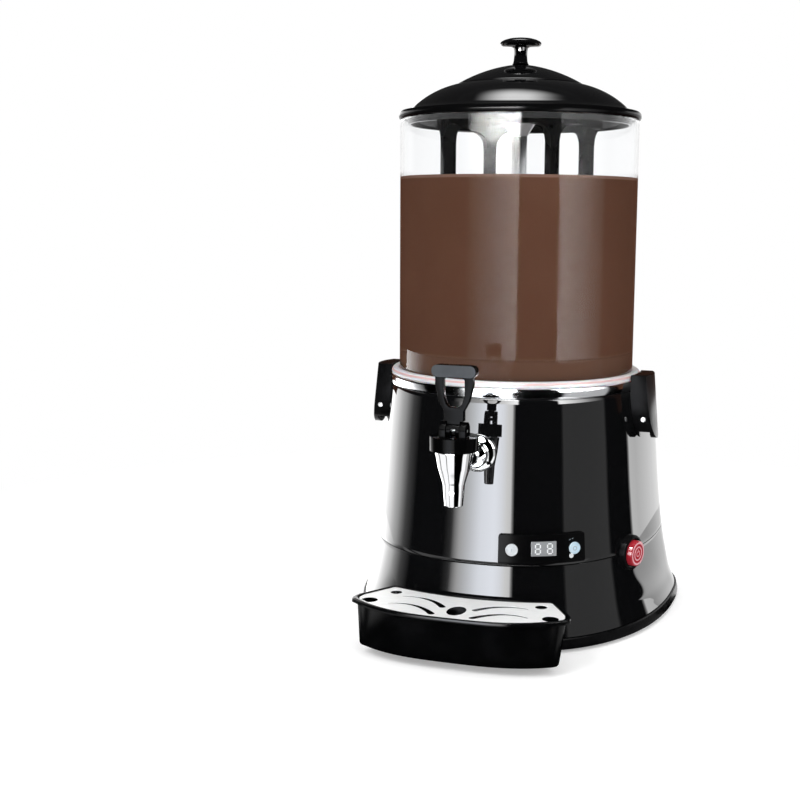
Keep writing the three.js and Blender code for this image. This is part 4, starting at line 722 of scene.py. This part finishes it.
FIGURE_HEIGHT = 97.7
KEY_HEIGHT = 96.6
SET_KEY_AZIMUTH = 14.2
LIGHT_KEY_AZIMUTH = 37.6
LYING, UPRIGHT = (3.5, 1.25, 0.3, 0.12), (1.25, 3.4, 0.3, 0.12)
# Each stroke of a figure: across and up from its middle, and its size.
FIGURE_STROKES = [(0, 4.6, LYING), (2.3, 2.3, UPRIGHT), (2.3, -2.3, UPRIGHT), (0, -4.6, LYING),
                  (-2.3, -2.3, UPRIGHT), (-2.3, 2.3, UPRIGHT), (0, 0, LYING)]


def make_panel():
    bezel = casing_pad((9.3, 42.0), (83.6, 110.6), 0.4, 5, 44, 10)
    # Its four short edges, from the inner to the outer face.
    corners = [e for e in bezel.edges if e.calc_face_angle(0) > 1.2
               and abs((e.verts[0].co - e.verts[1].co).normalized().z) < 0.5
               and e.calc_length() > 4 and len({f for v in e.verts for f in v.link_faces}) <= 6]
    round_edges(bezel, corners, 2.4, 5)
    soften(bezel, 1.5, 40, 4)
    piece(bezel, "panel_face", "machine", panel_plastic, ["panel_bezel"])
    pane = casing_pad((21.2, 30.5), (90.8, 104.5), 3.3, 5.3, 12, 4)
    piece(soften(pane, 0.25, 40), "display_pane", "machine", display_grey, ["display_window"])
    for place, azimuth in (("tens", 23.65), ("ones", 28.05)):
        for number, (x, y, size) in enumerate(FIGURE_STROKES):
            piece(rounded_bar(*size), f"figure_{place}_{number}", "machine", digit_pale,
                  place=on_face(azimuth, FIGURE_HEIGHT + y, 5.38) @ Matrix.Translation((x, 0, 0)))
    for name, azimuth, node, body, look in (
            ("set_key_cap", SET_KEY_AZIMUTH, "set_button", "set_key", button_grey),
            ("light_key_cap", LIGHT_KEY_AZIMUTH, "light_button", "light_key", button_blue)):
        cap = turned([(0, -4.0), (5.6, -4.0), (5.8, -3.8), (5.8, 5.6), (5.6, 5.95), (5.2, 6.12),
                      (4.6, 6.16), (4.3, 6.0), (4.0, 6.0), (3.7, 6.12), (0, 6.2)], 56)
        piece(cap, name, body, look, [node], on_face(azimuth, KEY_HEIGHT))
    ring = turned([(1.5, 6.15), (2.1, 6.15), (2.1, 6.28), (1.5, 6.28)], 40)
    piece(ring, "light_key_ring", "light_key", button_mark,
          place=on_face(LIGHT_KEY_AZIMUTH, KEY_HEIGHT))
    piece(rounded_bar(0.55, 2.6, 0.14, 0.05), "set_key_mark", "set_key", button_mark,
          place=on_face(SET_KEY_AZIMUTH, KEY_HEIGHT, 6.2))
    lamp = turned([(0, 4.6), (2.3, 4.6), (2.3, 5.1), (2.0, 5.5), (1.2, 5.75), (0, 5.85)], 32)
    piece(lamp, "heating_lamp", "machine", lamp_pale, place=on_face(36.3, 89.6))
    for number, (azimuth, height) in enumerate(((35.8, 104.9), (36.9, 105.8))):
        piece(rounded_bar(1.6, 0.5, 0.2, 0.08), f"light_tick_{number}", "machine", button_mark,
              place=on_face(azimuth, height, 5.05) @ Matrix.Rotation(0.6, 4, "Z"))


make_panel()


# ---- Power switch ----

def make_switch():
    there = on_face(69, 79)
    rim = turned([(13.1, -16), (15, -16), (15, -3), (17.5, -3), (17.5, 3.4), (17.1, 4.5),
                  (16.2, 5), (14.4, 5), (13.5, 4.6), (13.1, 3.8)], 80)
    piece(rim, "switch_rim", "machine", satin_plastic, ["switch_body"], there)
    cap = turned([(0, -10), (5, -10), (5, -2), (12.6, -2), (12.6, 8.6), (12.2, 9.5), (11.4, 9.9),
                  (10.4, 9.9), (10.1, 9.5), (9.7, 9.5), (9.4, 9.9), (6.7, 10), (6.4, 9.6),
                  (6.0, 9.6), (5.7, 10), (0, 10)], 80)
    piece(cap, "switch_cap", "power_key", lit_red, ["power_button"], there)
    for name, low, high in (("outer", 9.5, 11.3), ("inner", 5.6, 7.2)):
        ring = turned([(low, 9.95), (high, 9.95), (high - 0.15, 10.12), (low + 0.15, 10.12)], 72)
        piece(ring, f"switch_ring_{name}", "power_key", lit_pink, place=there)
    arc = outline_in_section([(2.3, 9.98), (3.2, 9.98), (3.2, 10.15), (2.3, 10.15)], True)
    bmesh.ops.rotate(arc, verts=arc.verts[:], cent=(0, 0, 0),
                     matrix=Matrix.Rotation(math.radians(122), 3, "Z"))
    bmesh.ops.spin(arc, geom=arc.verts[:] + arc.edges[:], cent=(0, 0, 0), axis=(0, 0, 1),
                   angle=math.radians(296), steps=36)
    bmesh.ops.holes_fill(arc, edges=[e for e in arc.edges if e.is_boundary], sides=4)
    turn_outwards(arc)
    piece(arc, "power_sign_arc", "power_key", lit_pink, place=there)
    piece(rounded_bar(0.9, 3.2, 0.2, 0.08), "power_sign_bar", "power_key", lit_pink,
          place=there @ Matrix.Translation((0, 2.6, 10.05)))


make_switch()


# ---- Handles and their screws ----

def make_handles():
    for hand, side in (("left", -1), ("right", 1)):
        grip = soften(from_node(f"{hand}_handle"), 1.1, 32, 3)
        made = piece(grip, f"{hand}_grip", "machine", satin_plastic, [f"{hand}_handle"])
        second_look(made, plate_plastic, lambda p: p.normal.x * side > 0.75)
        for end, turn in (("front", 1), ("back", -1)):
            low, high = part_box(f"{hand}_handle_screw_{end}")
            tip = Vector(((low.x + high.x) / 2, high.y if end == "front" else low.y,
                          (low.z + high.z) / 2))
            screw = turned([(0, 0), (1.6, 0), (1.6, 8), (2.5, 8), (2.5, 9.6), (2.3, 9.95),
                            (1.8, 10.15), (1.0, 10.2), (0.85, 9.6), (0, 9.5)], 32)
            piece(screw, f"{hand}_screw_{end}", "machine", screw_steel,
                  [f"{hand}_handle_screw_{end}"], Matrix.Translation(tip)
                  @ Matrix.Rotation(turn * math.pi / 2, 4, "X") @ Matrix.Scale(MILLIMETRE, 4))


make_handles()


# ---- Drip tray and grid ----

RIM_PLAN = {"half": 105, "heel": 80, "front": 226, "tip": 195, "corner": 145, "middle": 158}
FLOOR_PLAN = {"half": 96, "heel": 76, "front": 220.5, "tip": 199, "corner": 157, "middle": 169.5}


def bent(start, pull, end, t):
    """The place at t on a curve from start to end that bends towards pull."""
    return start * (1 - t) ** 2 + pull * (2 * t * (1 - t)) + end * t * t


def curve_between(start, pull, end, steps):
    start, pull, end = Vector(start), Vector(pull), Vector(end)
    return [tuple(bent(start, pull, end, i / steps)) for i in range(1, steps)]


def tray_outline(plan, inset):
    """From above: bowed in front, hollow behind, with rounded tips."""
    half, heel = plan["half"] - inset * 1.8, plan["heel"] - inset * 0.55
    front, tip = plan["front"] - inset, plan["tip"] - inset
    corner, middle = plan["corner"] + inset, plan["middle"] + inset

    def bow(x):
        return front - (front - tip) * abs(x / half) ** 3
    radius = (heel ** 2 + (middle - corner) ** 2) / (2 * (middle - corner))
    reach, back_end = half - 6, heel - 5
    front_edge = [(reach * (-1 + i / 30), -bow(reach * (-1 + i / 30))) for i in range(61)]
    back_edge = [(x, -(middle - radius + math.sqrt(radius ** 2 - x ** 2)))
                 for x in (back_end * (1 - i / 18) for i in range(37))]
    tip_end, heel_start = (half - 3, -tip + 12), (heel + 1.7, -corner - 5)
    right = curve_between(front_edge[-1], (half + 2, -tip - 1), tip_end, 8)
    right += [tip_end, heel_start]
    right += curve_between(heel_start, (heel, -corner), back_edge[0], 4)
    left = [(-x, y) for x, y in reversed(right)]
    return front_edge + right + back_edge + left


def tray_level(plan, height, inset):
    outline = tray_outline(plan, inset)
    return lambda share: Vector((*outline[round(share * len(outline)) % len(outline)], height))


def blend_plan(share):
    return {key: FLOOR_PLAN[key] + (RIM_PLAN[key] - FLOOR_PLAN[key]) * share for key in RIM_PLAN}


SLOT_TIP, SLOT_HEAD = 1.8, 6.6
SLOT_STEPS, HOLE_STEPS = 14, 36


def tapered_stroke(side, points):
    """A slot that thins to its outer tip, along a curve through three points."""
    a, b, c = (Vector((side * x, -y)) for x, y in points)
    pull = b * 2 - (a + c) / 2
    left, right = [], []
    for i in range(SLOT_STEPS + 1):
        t = i / SLOT_STEPS
        at = bent(a, pull, c, t)
        along = ((pull - a) * (1 - t) + (c - pull) * t).normalized()
        half = (SLOT_TIP + (SLOT_HEAD - SLOT_TIP) * t) / 2
        out = Vector((-along.y, along.x)) * half
        left.append(at + out)
        right.append(at - out)
    cap = [c + along * SLOT_HEAD / 2 * math.sin(u) + out * math.cos(u)
           for u in (math.pi * i / 10 for i in range(1, 10))]
    return left + cap + right[::-1]


def ellipse(x, y, across, up):
    return [Vector((x + across * math.cos(turn), y + up * math.sin(turn)))
            for turn in (FULL_TURN * i / HOLE_STEPS for i in range(HOLE_STEPS))]


def make_tray():
    count = len(tray_outline(RIM_PLAN, 0))
    outer = [tray_level(FLOOR_PLAN, z, inset) for z, inset in
             ((8, 2.5), (8.3, 1.4), (9.2, 0.4), (10.5, 0))]
    outer += [tray_level(blend_plan(i / 6), 10.5 + 37.3 * i / 6, 2.6 * i / 6) for i in range(1, 7)]
    lip = [tray_level(RIM_PLAN, z, inset) for z, inset in
           ((47.8, 0.4), (48.2, 0), (50.9, 0), (51.5, 0.25), (51.8, 0.8), (51.8, 2.3), (51.6, 2.6),
            (49, 2.6), (49, 5.6))]
    inside = [tray_level(blend_plan(1 - i / 5), 49 - 36.5 * i / 5, 5.6 - 1.4 * i / 5)
              for i in range(1, 6)] + [tray_level(FLOOR_PLAN, 10.5, 6.4)]
    tray = drawn(outer + lip + inside, count, ends=True)
    piece(tray, "tray_shell", "tray", satin_tray, ["drip_tray"], sharp=42)
    sheet = bmesh.new()
    holes = [ellipse(0, -199, 8.6, 13.6)]
    for side in (-1, 1):
        holes += [ellipse(side * 86, -194, 7.6, 7.6), ellipse(side * 70.5, -164, 5.6, 5.6),
                  tapered_stroke(side, [(61, 173.6), (36, 175), (15.8, 191.7)]),
                  tapered_stroke(side, [(66.5, 198.2), (42.4, 195.8), (19.3, 213.4)])]
    for loop in [tray_outline(RIM_PLAN, 3.4)] + holes:
        add_outline(sheet, [(x, y, 50.8) for x, y in loop])
    bmesh.ops.triangle_fill(sheet, edges=sheet.edges[:], use_beauty=True)
    made = bmesh.ops.extrude_face_region(sheet, geom=sheet.faces[:])["geom"]
    bmesh.ops.translate(sheet, vec=(0, 0, -0.5), verts=verts_among(made))
    turn_outwards(sheet)
    piece(soften(sheet, 0.12, 50, 1), "steel_grid", "grid", grid_steel, ["drip_grid"])
    edge = drawn([tray_level(RIM_PLAN, z, inset) for z, inset in
                  ((50.2, 3.5), (49.3, 3.5), (49.3, 4.3), (50.2, 4.3))], count)
    piece(edge, "grid_edge", "grid", grid_steel)


make_tray()


# ---- Mains inlet at the back ----

def make_inlet():
    piece(soften(from_node("power_inlet"), 0.7, 40), "inlet_shell", "machine", satin_plastic,
          ["power_inlet"])
    low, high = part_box("power_inlet")
    face = (high.y - TANK_AXIS_Y) / MILLIMETRE
    for name, x, z in (("left", -7, 110.5), ("right", 7, 110.5), ("middle", 0, 114.5)):
        blade = rounded_bar(1.8, 12, 5, 0.4)
        piece(blade, f"inlet_blade_{name}", "machine", satin_steel,
              place=ON_TANK @ Matrix.Translation((x, face - 13.5, z)))
    for name, x in (("left", -19), ("right", 19)):
        head = turned([(0, -0.3), (2.9, -0.3), (2.9, 0.5), (2.4, 1.0), (1.0, 1.2), (0.9, 0.6),
                       (0, 0.5)], 28)
        piece(head, f"inlet_screw_{name}", "machine", satin_steel, place=ON_TANK
              @ Matrix.Translation((x, face, 112)) @ Matrix.Rotation(-math.pi / 2, 4, "X"))


make_inlet()


# ---- Finishes of the CAD nodes that stay ----

NODE_FINISHES = {
    plated: ["base_plate", "tray_tongue", "heating_element", "motor_bridge", "gearbox", "knob_nut",
             "power_supply"],
    satin_steel: ["water_bath", "inner_bowl", "drive_shaft", "tap_pin", "tap_spring", "tap_nut",
                  "left_handle_bracket", "right_handle_bracket"],
    silicone: ["tap_stem", "shank_seal", "tap_washer"],
    satin_plastic: ["gear_motor"],
    bronze: ["shaft_bush"],
    board_green: ["control_board"],
    white_nylon: ["bath_thermostat", "switch_nut", "terminal_block"],
}
for look, names in NODE_FINISHES.items():
    for node_name in names:
        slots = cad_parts[node_name].data.materials
        slots.clear()
        slots.append(look)


# ---- Studio: pale floor, soft lamps, and strips of light that only shiny faces see ----

def flat_material(name, build):
    material = bpy.data.materials.new(name)
    material.use_nodes = True
    tree = material.node_tree
    tree.nodes.clear()
    end = tree.nodes.new("ShaderNodeOutputMaterial")
    tree.links.new(build(tree), end.inputs["Surface"])
    return material


def seen_directly(tree):
    """Rays of the camera, also those that a mirror threw back or that went through the tank."""
    path = tree.nodes.new("ShaderNodeLightPath").outputs
    shown = maths(tree, "MAXIMUM", path["Is Camera Ray"], path["Is Glossy Ray"])
    return maths(tree, "MAXIMUM", shown, path["Is Transmission Ray"])


def mirrored_rays(tree):
    """Rays that a shiny face threw back, without those that came through the clear tank."""
    path = tree.nodes.new("ShaderNodeLightPath").outputs
    return maths(tree, "SUBTRACT", path["Is Glossy Ray"], path["Is Transmission Ray"], clamp=True)


def position(tree, centre=(0, 0, 0)):
    """The place on a stage piece, about a centre: its parts, its azimuth's share and its reach."""
    where = wire_node(tree, "TexCoord").outputs["Object"]
    moved = wire_node(tree, "VectorMath", {"operation": "SUBTRACT"}, i0=where,
                      i1=centre).outputs[0]
    parts = wire_node(tree, "SeparateXYZ", Vector=moved).outputs
    angle = maths(tree, "ARCTAN2", parts["X"], maths(tree, "MULTIPLY", parts["Y"], -1.0))
    share = wire_node(tree, "MapRange", i0=angle, i1=-math.pi, i2=math.pi).outputs[0]
    flat = wire_node(tree, "VectorMath", {"operation": "MULTIPLY"}, i0=moved, i1=(1, 1, 0))
    reach = wire_node(tree, "VectorMath", {"operation": "LENGTH"}, i0=flat.outputs[0])
    return parts, share, reach.outputs["Value"]


def mixed(tree, share, first, second):
    return wire_node(tree, "MixShader", i0=share, i1=first, i2=second).outputs[0]


def glow(tree, strength, colour=(1, 1, 1, 1)):
    return wire_node(tree, "Emission", Color=colour, Strength=strength).outputs[0]


def diffuse(tree, grey):
    return wire_node(tree, "BsdfDiffuse", Color=(grey, grey, grey, 1)).outputs[0]


def strips(tree, share, stops, most):
    """Light over the azimuth, from stops of degrees and a grey or a colour, none above most."""
    node = wire_node(tree, "ValToRGB", i0=share)
    elements = node.color_ramp.elements
    elements.remove(elements[-1])
    for number, (azimuth, light) in enumerate(stops):
        at = azimuth / 360 + 0.5
        element = elements[0] if number == 0 else elements.new(at)
        element.position = at
        parts = light if isinstance(light, tuple) else (light, light, light)
        element.color = (*(part / most for part in parts), 1)
    return glow(tree, float(most), node.outputs["Color"])


# The stage is in metres. Azimuths are in degrees from the front, to the right.
DRINK_TONE = (0.1, 0.042, 0.026)
BODY_STRIPS = [(-180, 1.2), (-150, 2.5), (-130, 3.4), (-105, 4.0), (-90, 3.0), (-78, 0.7),
               (-66, 0), (-33, 0), (-27, 0.5), (-21, 7.5), (-16, (10.6, 10.9, 11.3)),
               (-10, (16.2, 16.8, 18)), (-2, (17.8, 18.4, 19.8)), (3, (16, 16.4, 17.4)), (7, 14),
               (10.4, 12.5), (11.6, 0), (54.5, 0), (55.7, 0.6), (97.5, 0.5), (99, 0),
               (122, 0), (123.2, 4.2), (131, 3), (141, 2.4), (152, 1.8), (170, 1.2), (180, 1.2)]
FLOOR_STRIPS = [(-180, 1.2), (-150, 2.5), (-130, 4.0), (-105, 5), (-93, 4), (-81, 0.9), (-69, 0),
                (54.5, 0), (55.7, 0.6), (97.5, 0.5), (99, 0), (118.5, 0), (119.7, 2.4), (128, 1.9),
                (138, 1.4), (150, 1.2), (180, 1.2)]
HIGH_STRIPS = [stop for stop in BODY_STRIPS if not -66 < stop[0] < 122]
NEAR_DRINK = [(-180, DRINK_TONE), (-89.2, DRINK_TONE), (-70.5, 0), (-25, 0), (-12, 6), (-5.5, 9),
              (5.4, 14.5), (14.0, 22), (15.2, 0), (45.6, 0), (46.6, 22), (56.8, 15), (74.9, 4),
              (88, 0), (105, DRINK_TONE), (180, DRINK_TONE)]
SPOUT_STRIPS = [(-180, 0), (-150, 0), (-146, 1.1), (-94, 1.1), (-92, 0), (-87, 0), (-85, 1.1),
                (-39, 1.1), (-38, 0.1), (-34, 0.1), (-33, 1.1), (16, 1.1), (18.5, 0), (72, 0),
                (76, 1.1), (146, 1.1), (152, 0), (180, 0)]


def glass_strips(*rise):
    """The strips seen in the tank's empty part; the left one rises through four lights."""
    return [(-180, 1.0), (-89.2, 1.0), (-80, 0), (-25, 0), *zip((-12, -5.5, 5.4, 14.0), rise),
            (15.2, 0), (45.6, 0), (46.6, 13), (56.8, 10), (74.9, 4), (88, 0), (102.3, 1.0),
            (180, 1.0)]


def floor_shader(tree):
    """White to the camera, with the machine's shadow. Mirrors see strips: around the tap before
    the machine, around the machine behind it."""
    parts, share, reach = position(tree)
    _, tap_share, from_tap = position(tree, TAP_CENTRE)
    lit = wire_node(tree, "AddShader", i0=diffuse(tree, 0.8), i1=glow(tree, 0.33)).outputs[0]
    seen = mixed(tree, band(tree, reach, 0.5, 0.9), lit, glow(tree, 1.0))
    before = mixed(tree, band(tree, from_tap, 0.16, 0.2), glow(tree, 0.0),
                   strips(tree, tap_share, SPOUT_STRIPS, 2))
    mirrored = mixed(tree, band(tree, parts["Y"], -0.14, -0.1), before,
                     strips(tree, share, FLOOR_STRIPS, 5))
    direct = mixed(tree, seen_directly(tree), diffuse(tree, 0.7), seen)
    return mixed(tree, mirrored_rays(tree), direct, mirrored)


WALL_RADIUS = 0.6
WALL_FOOT, CEILING = -0.3, 1.3


def wall_shader(tree):
    """Strips for the body, dark above them, and one spot on the ceiling for the lid."""
    parts, share, _ = position(tree)
    across = maths(tree, "MULTIPLY", band(tree, parts["X"], -0.38, -0.08),
                   band(tree, parts["X"], 0.26, 0.0))
    deep = maths(tree, "MULTIPLY", band(tree, parts["Y"], -0.03, 0.0),
                 band(tree, parts["Y"], 0.42, 0.1))
    spot = maths(tree, "MULTIPLY", maths(tree, "MULTIPLY_ADD", across, deep, 0.006), 9.0)
    height = parts["Z"]
    upper = mixed(tree, band(tree, height, 0.27, 0.3), strips(tree, share, BODY_STRIPS, 20),
                  strips(tree, share, HIGH_STRIPS, 5))
    dark = mixed(tree, band(tree, height, 0.6, 0.66), upper, glow(tree, 0.04))
    return mixed(tree, band(tree, height, CEILING - 0.03, CEILING - 0.02), dark, glow(tree, spot))


NEAR_RADIUS = 0.3
NEAR_FOOT, NEAR_BACK_FOOT, NEAR_TOP = 0.247, 0.205, 0.515


def near_shader(tree):
    """Strips for the clear tank: soft before the drink, stronger above it, strongest at its top."""
    parts, share, _ = position(tree, (0, TANK_AXIS_Y, 0))
    height = parts["Z"]
    glass = mixed(tree, band(tree, height, 0.478, 0.49),
                  strips(tree, share, glass_strips(22, 38, 66, 88), 100),
                  strips(tree, share, glass_strips(100, 150, 225, 275), 350))
    return mixed(tree, band(tree, height, 0.449, 0.458), strips(tree, share, NEAR_DRINK, 25), glass)


def stage_piece(bm, name, material):
    made = mesh_object(bm, name, material)
    return made


def make_stage():
    ground = bmesh.new()
    bmesh.ops.create_grid(ground, x_segments=1, y_segments=1, size=12)
    stage_piece(ground, "floor", flat_material("pale_floor", floor_shader))
    wall = turned([(WALL_RADIUS, WALL_FOOT), (WALL_RADIUS, CEILING), (0, CEILING)], closed=False)
    near = turned([(NEAR_RADIUS, NEAR_FOOT), (NEAR_RADIUS, NEAR_TOP)], closed=False)
    # Behind the tank the ring reaches lower, where the edges of the tank's foot mirror it.
    for vert in near.verts:
        if vert.co.z < NEAR_TOP - 0.1 and vert.co.y > 0.05:
            vert.co.z = NEAR_BACK_FOOT
    near.transform(Matrix.Translation((0, TANK_AXIS_Y, 0)))
    for ring in (stage_piece(wall, "light_strips", flat_material("strip_lights", wall_shader)),
                 stage_piece(near, "tank_strips", flat_material("tank_strip_lights", near_shader))):
        ring.visible_camera = False
        ring.visible_diffuse = False
        ring.visible_transmission = False
        ring.visible_shadow = False
        ring.visible_volume_scatter = False


def lamp(name, place, height, size, power):
    """A square soft lamp that mirrors and the camera don't see, aimed at a height on the axis."""
    data = bpy.data.lights.new(name, "AREA")
    data.shape = "RECTANGLE"
    data.size = data.size_y = size
    data.energy = power
    made = add_object(name, data)
    made.location = place
    aim = Vector((0, 0, height)) - Vector(place)
    made.rotation_euler = aim.to_track_quat("-Z", "Y").to_euler()
    made.visible_glossy = False
    made.visible_transmission = False
    made.visible_camera = False


def make_world():
    world = bpy.data.worlds.new("white_studio")
    bpy.context.scene.world = world
    world.use_nodes = True
    tree = world.node_tree
    tree.nodes.clear()
    white, fill = (wire_node(tree, "Background", Color=(1, 1, 1, 1),
                             Strength=strength).outputs[0] for strength in (1.0, 0.62))
    end = tree.nodes.new("ShaderNodeOutputWorld")
    tree.links.new(mixed(tree, seen_directly(tree), fill, white), end.inputs["Surface"])


make_stage()
make_world()
lamp("soft_key", (-0.9, -1.5, 1.7), 0.25, 1.2, 24)
lamp("soft_fill", (1.5, -1.1, 1.3), 0.25, 1.0, 12)
lamp("soft_top", (0.1, 0.3, 2.2), 0.3, 1.4, 16)
bpy.context.scene.view_settings.view_transform = "Standard"
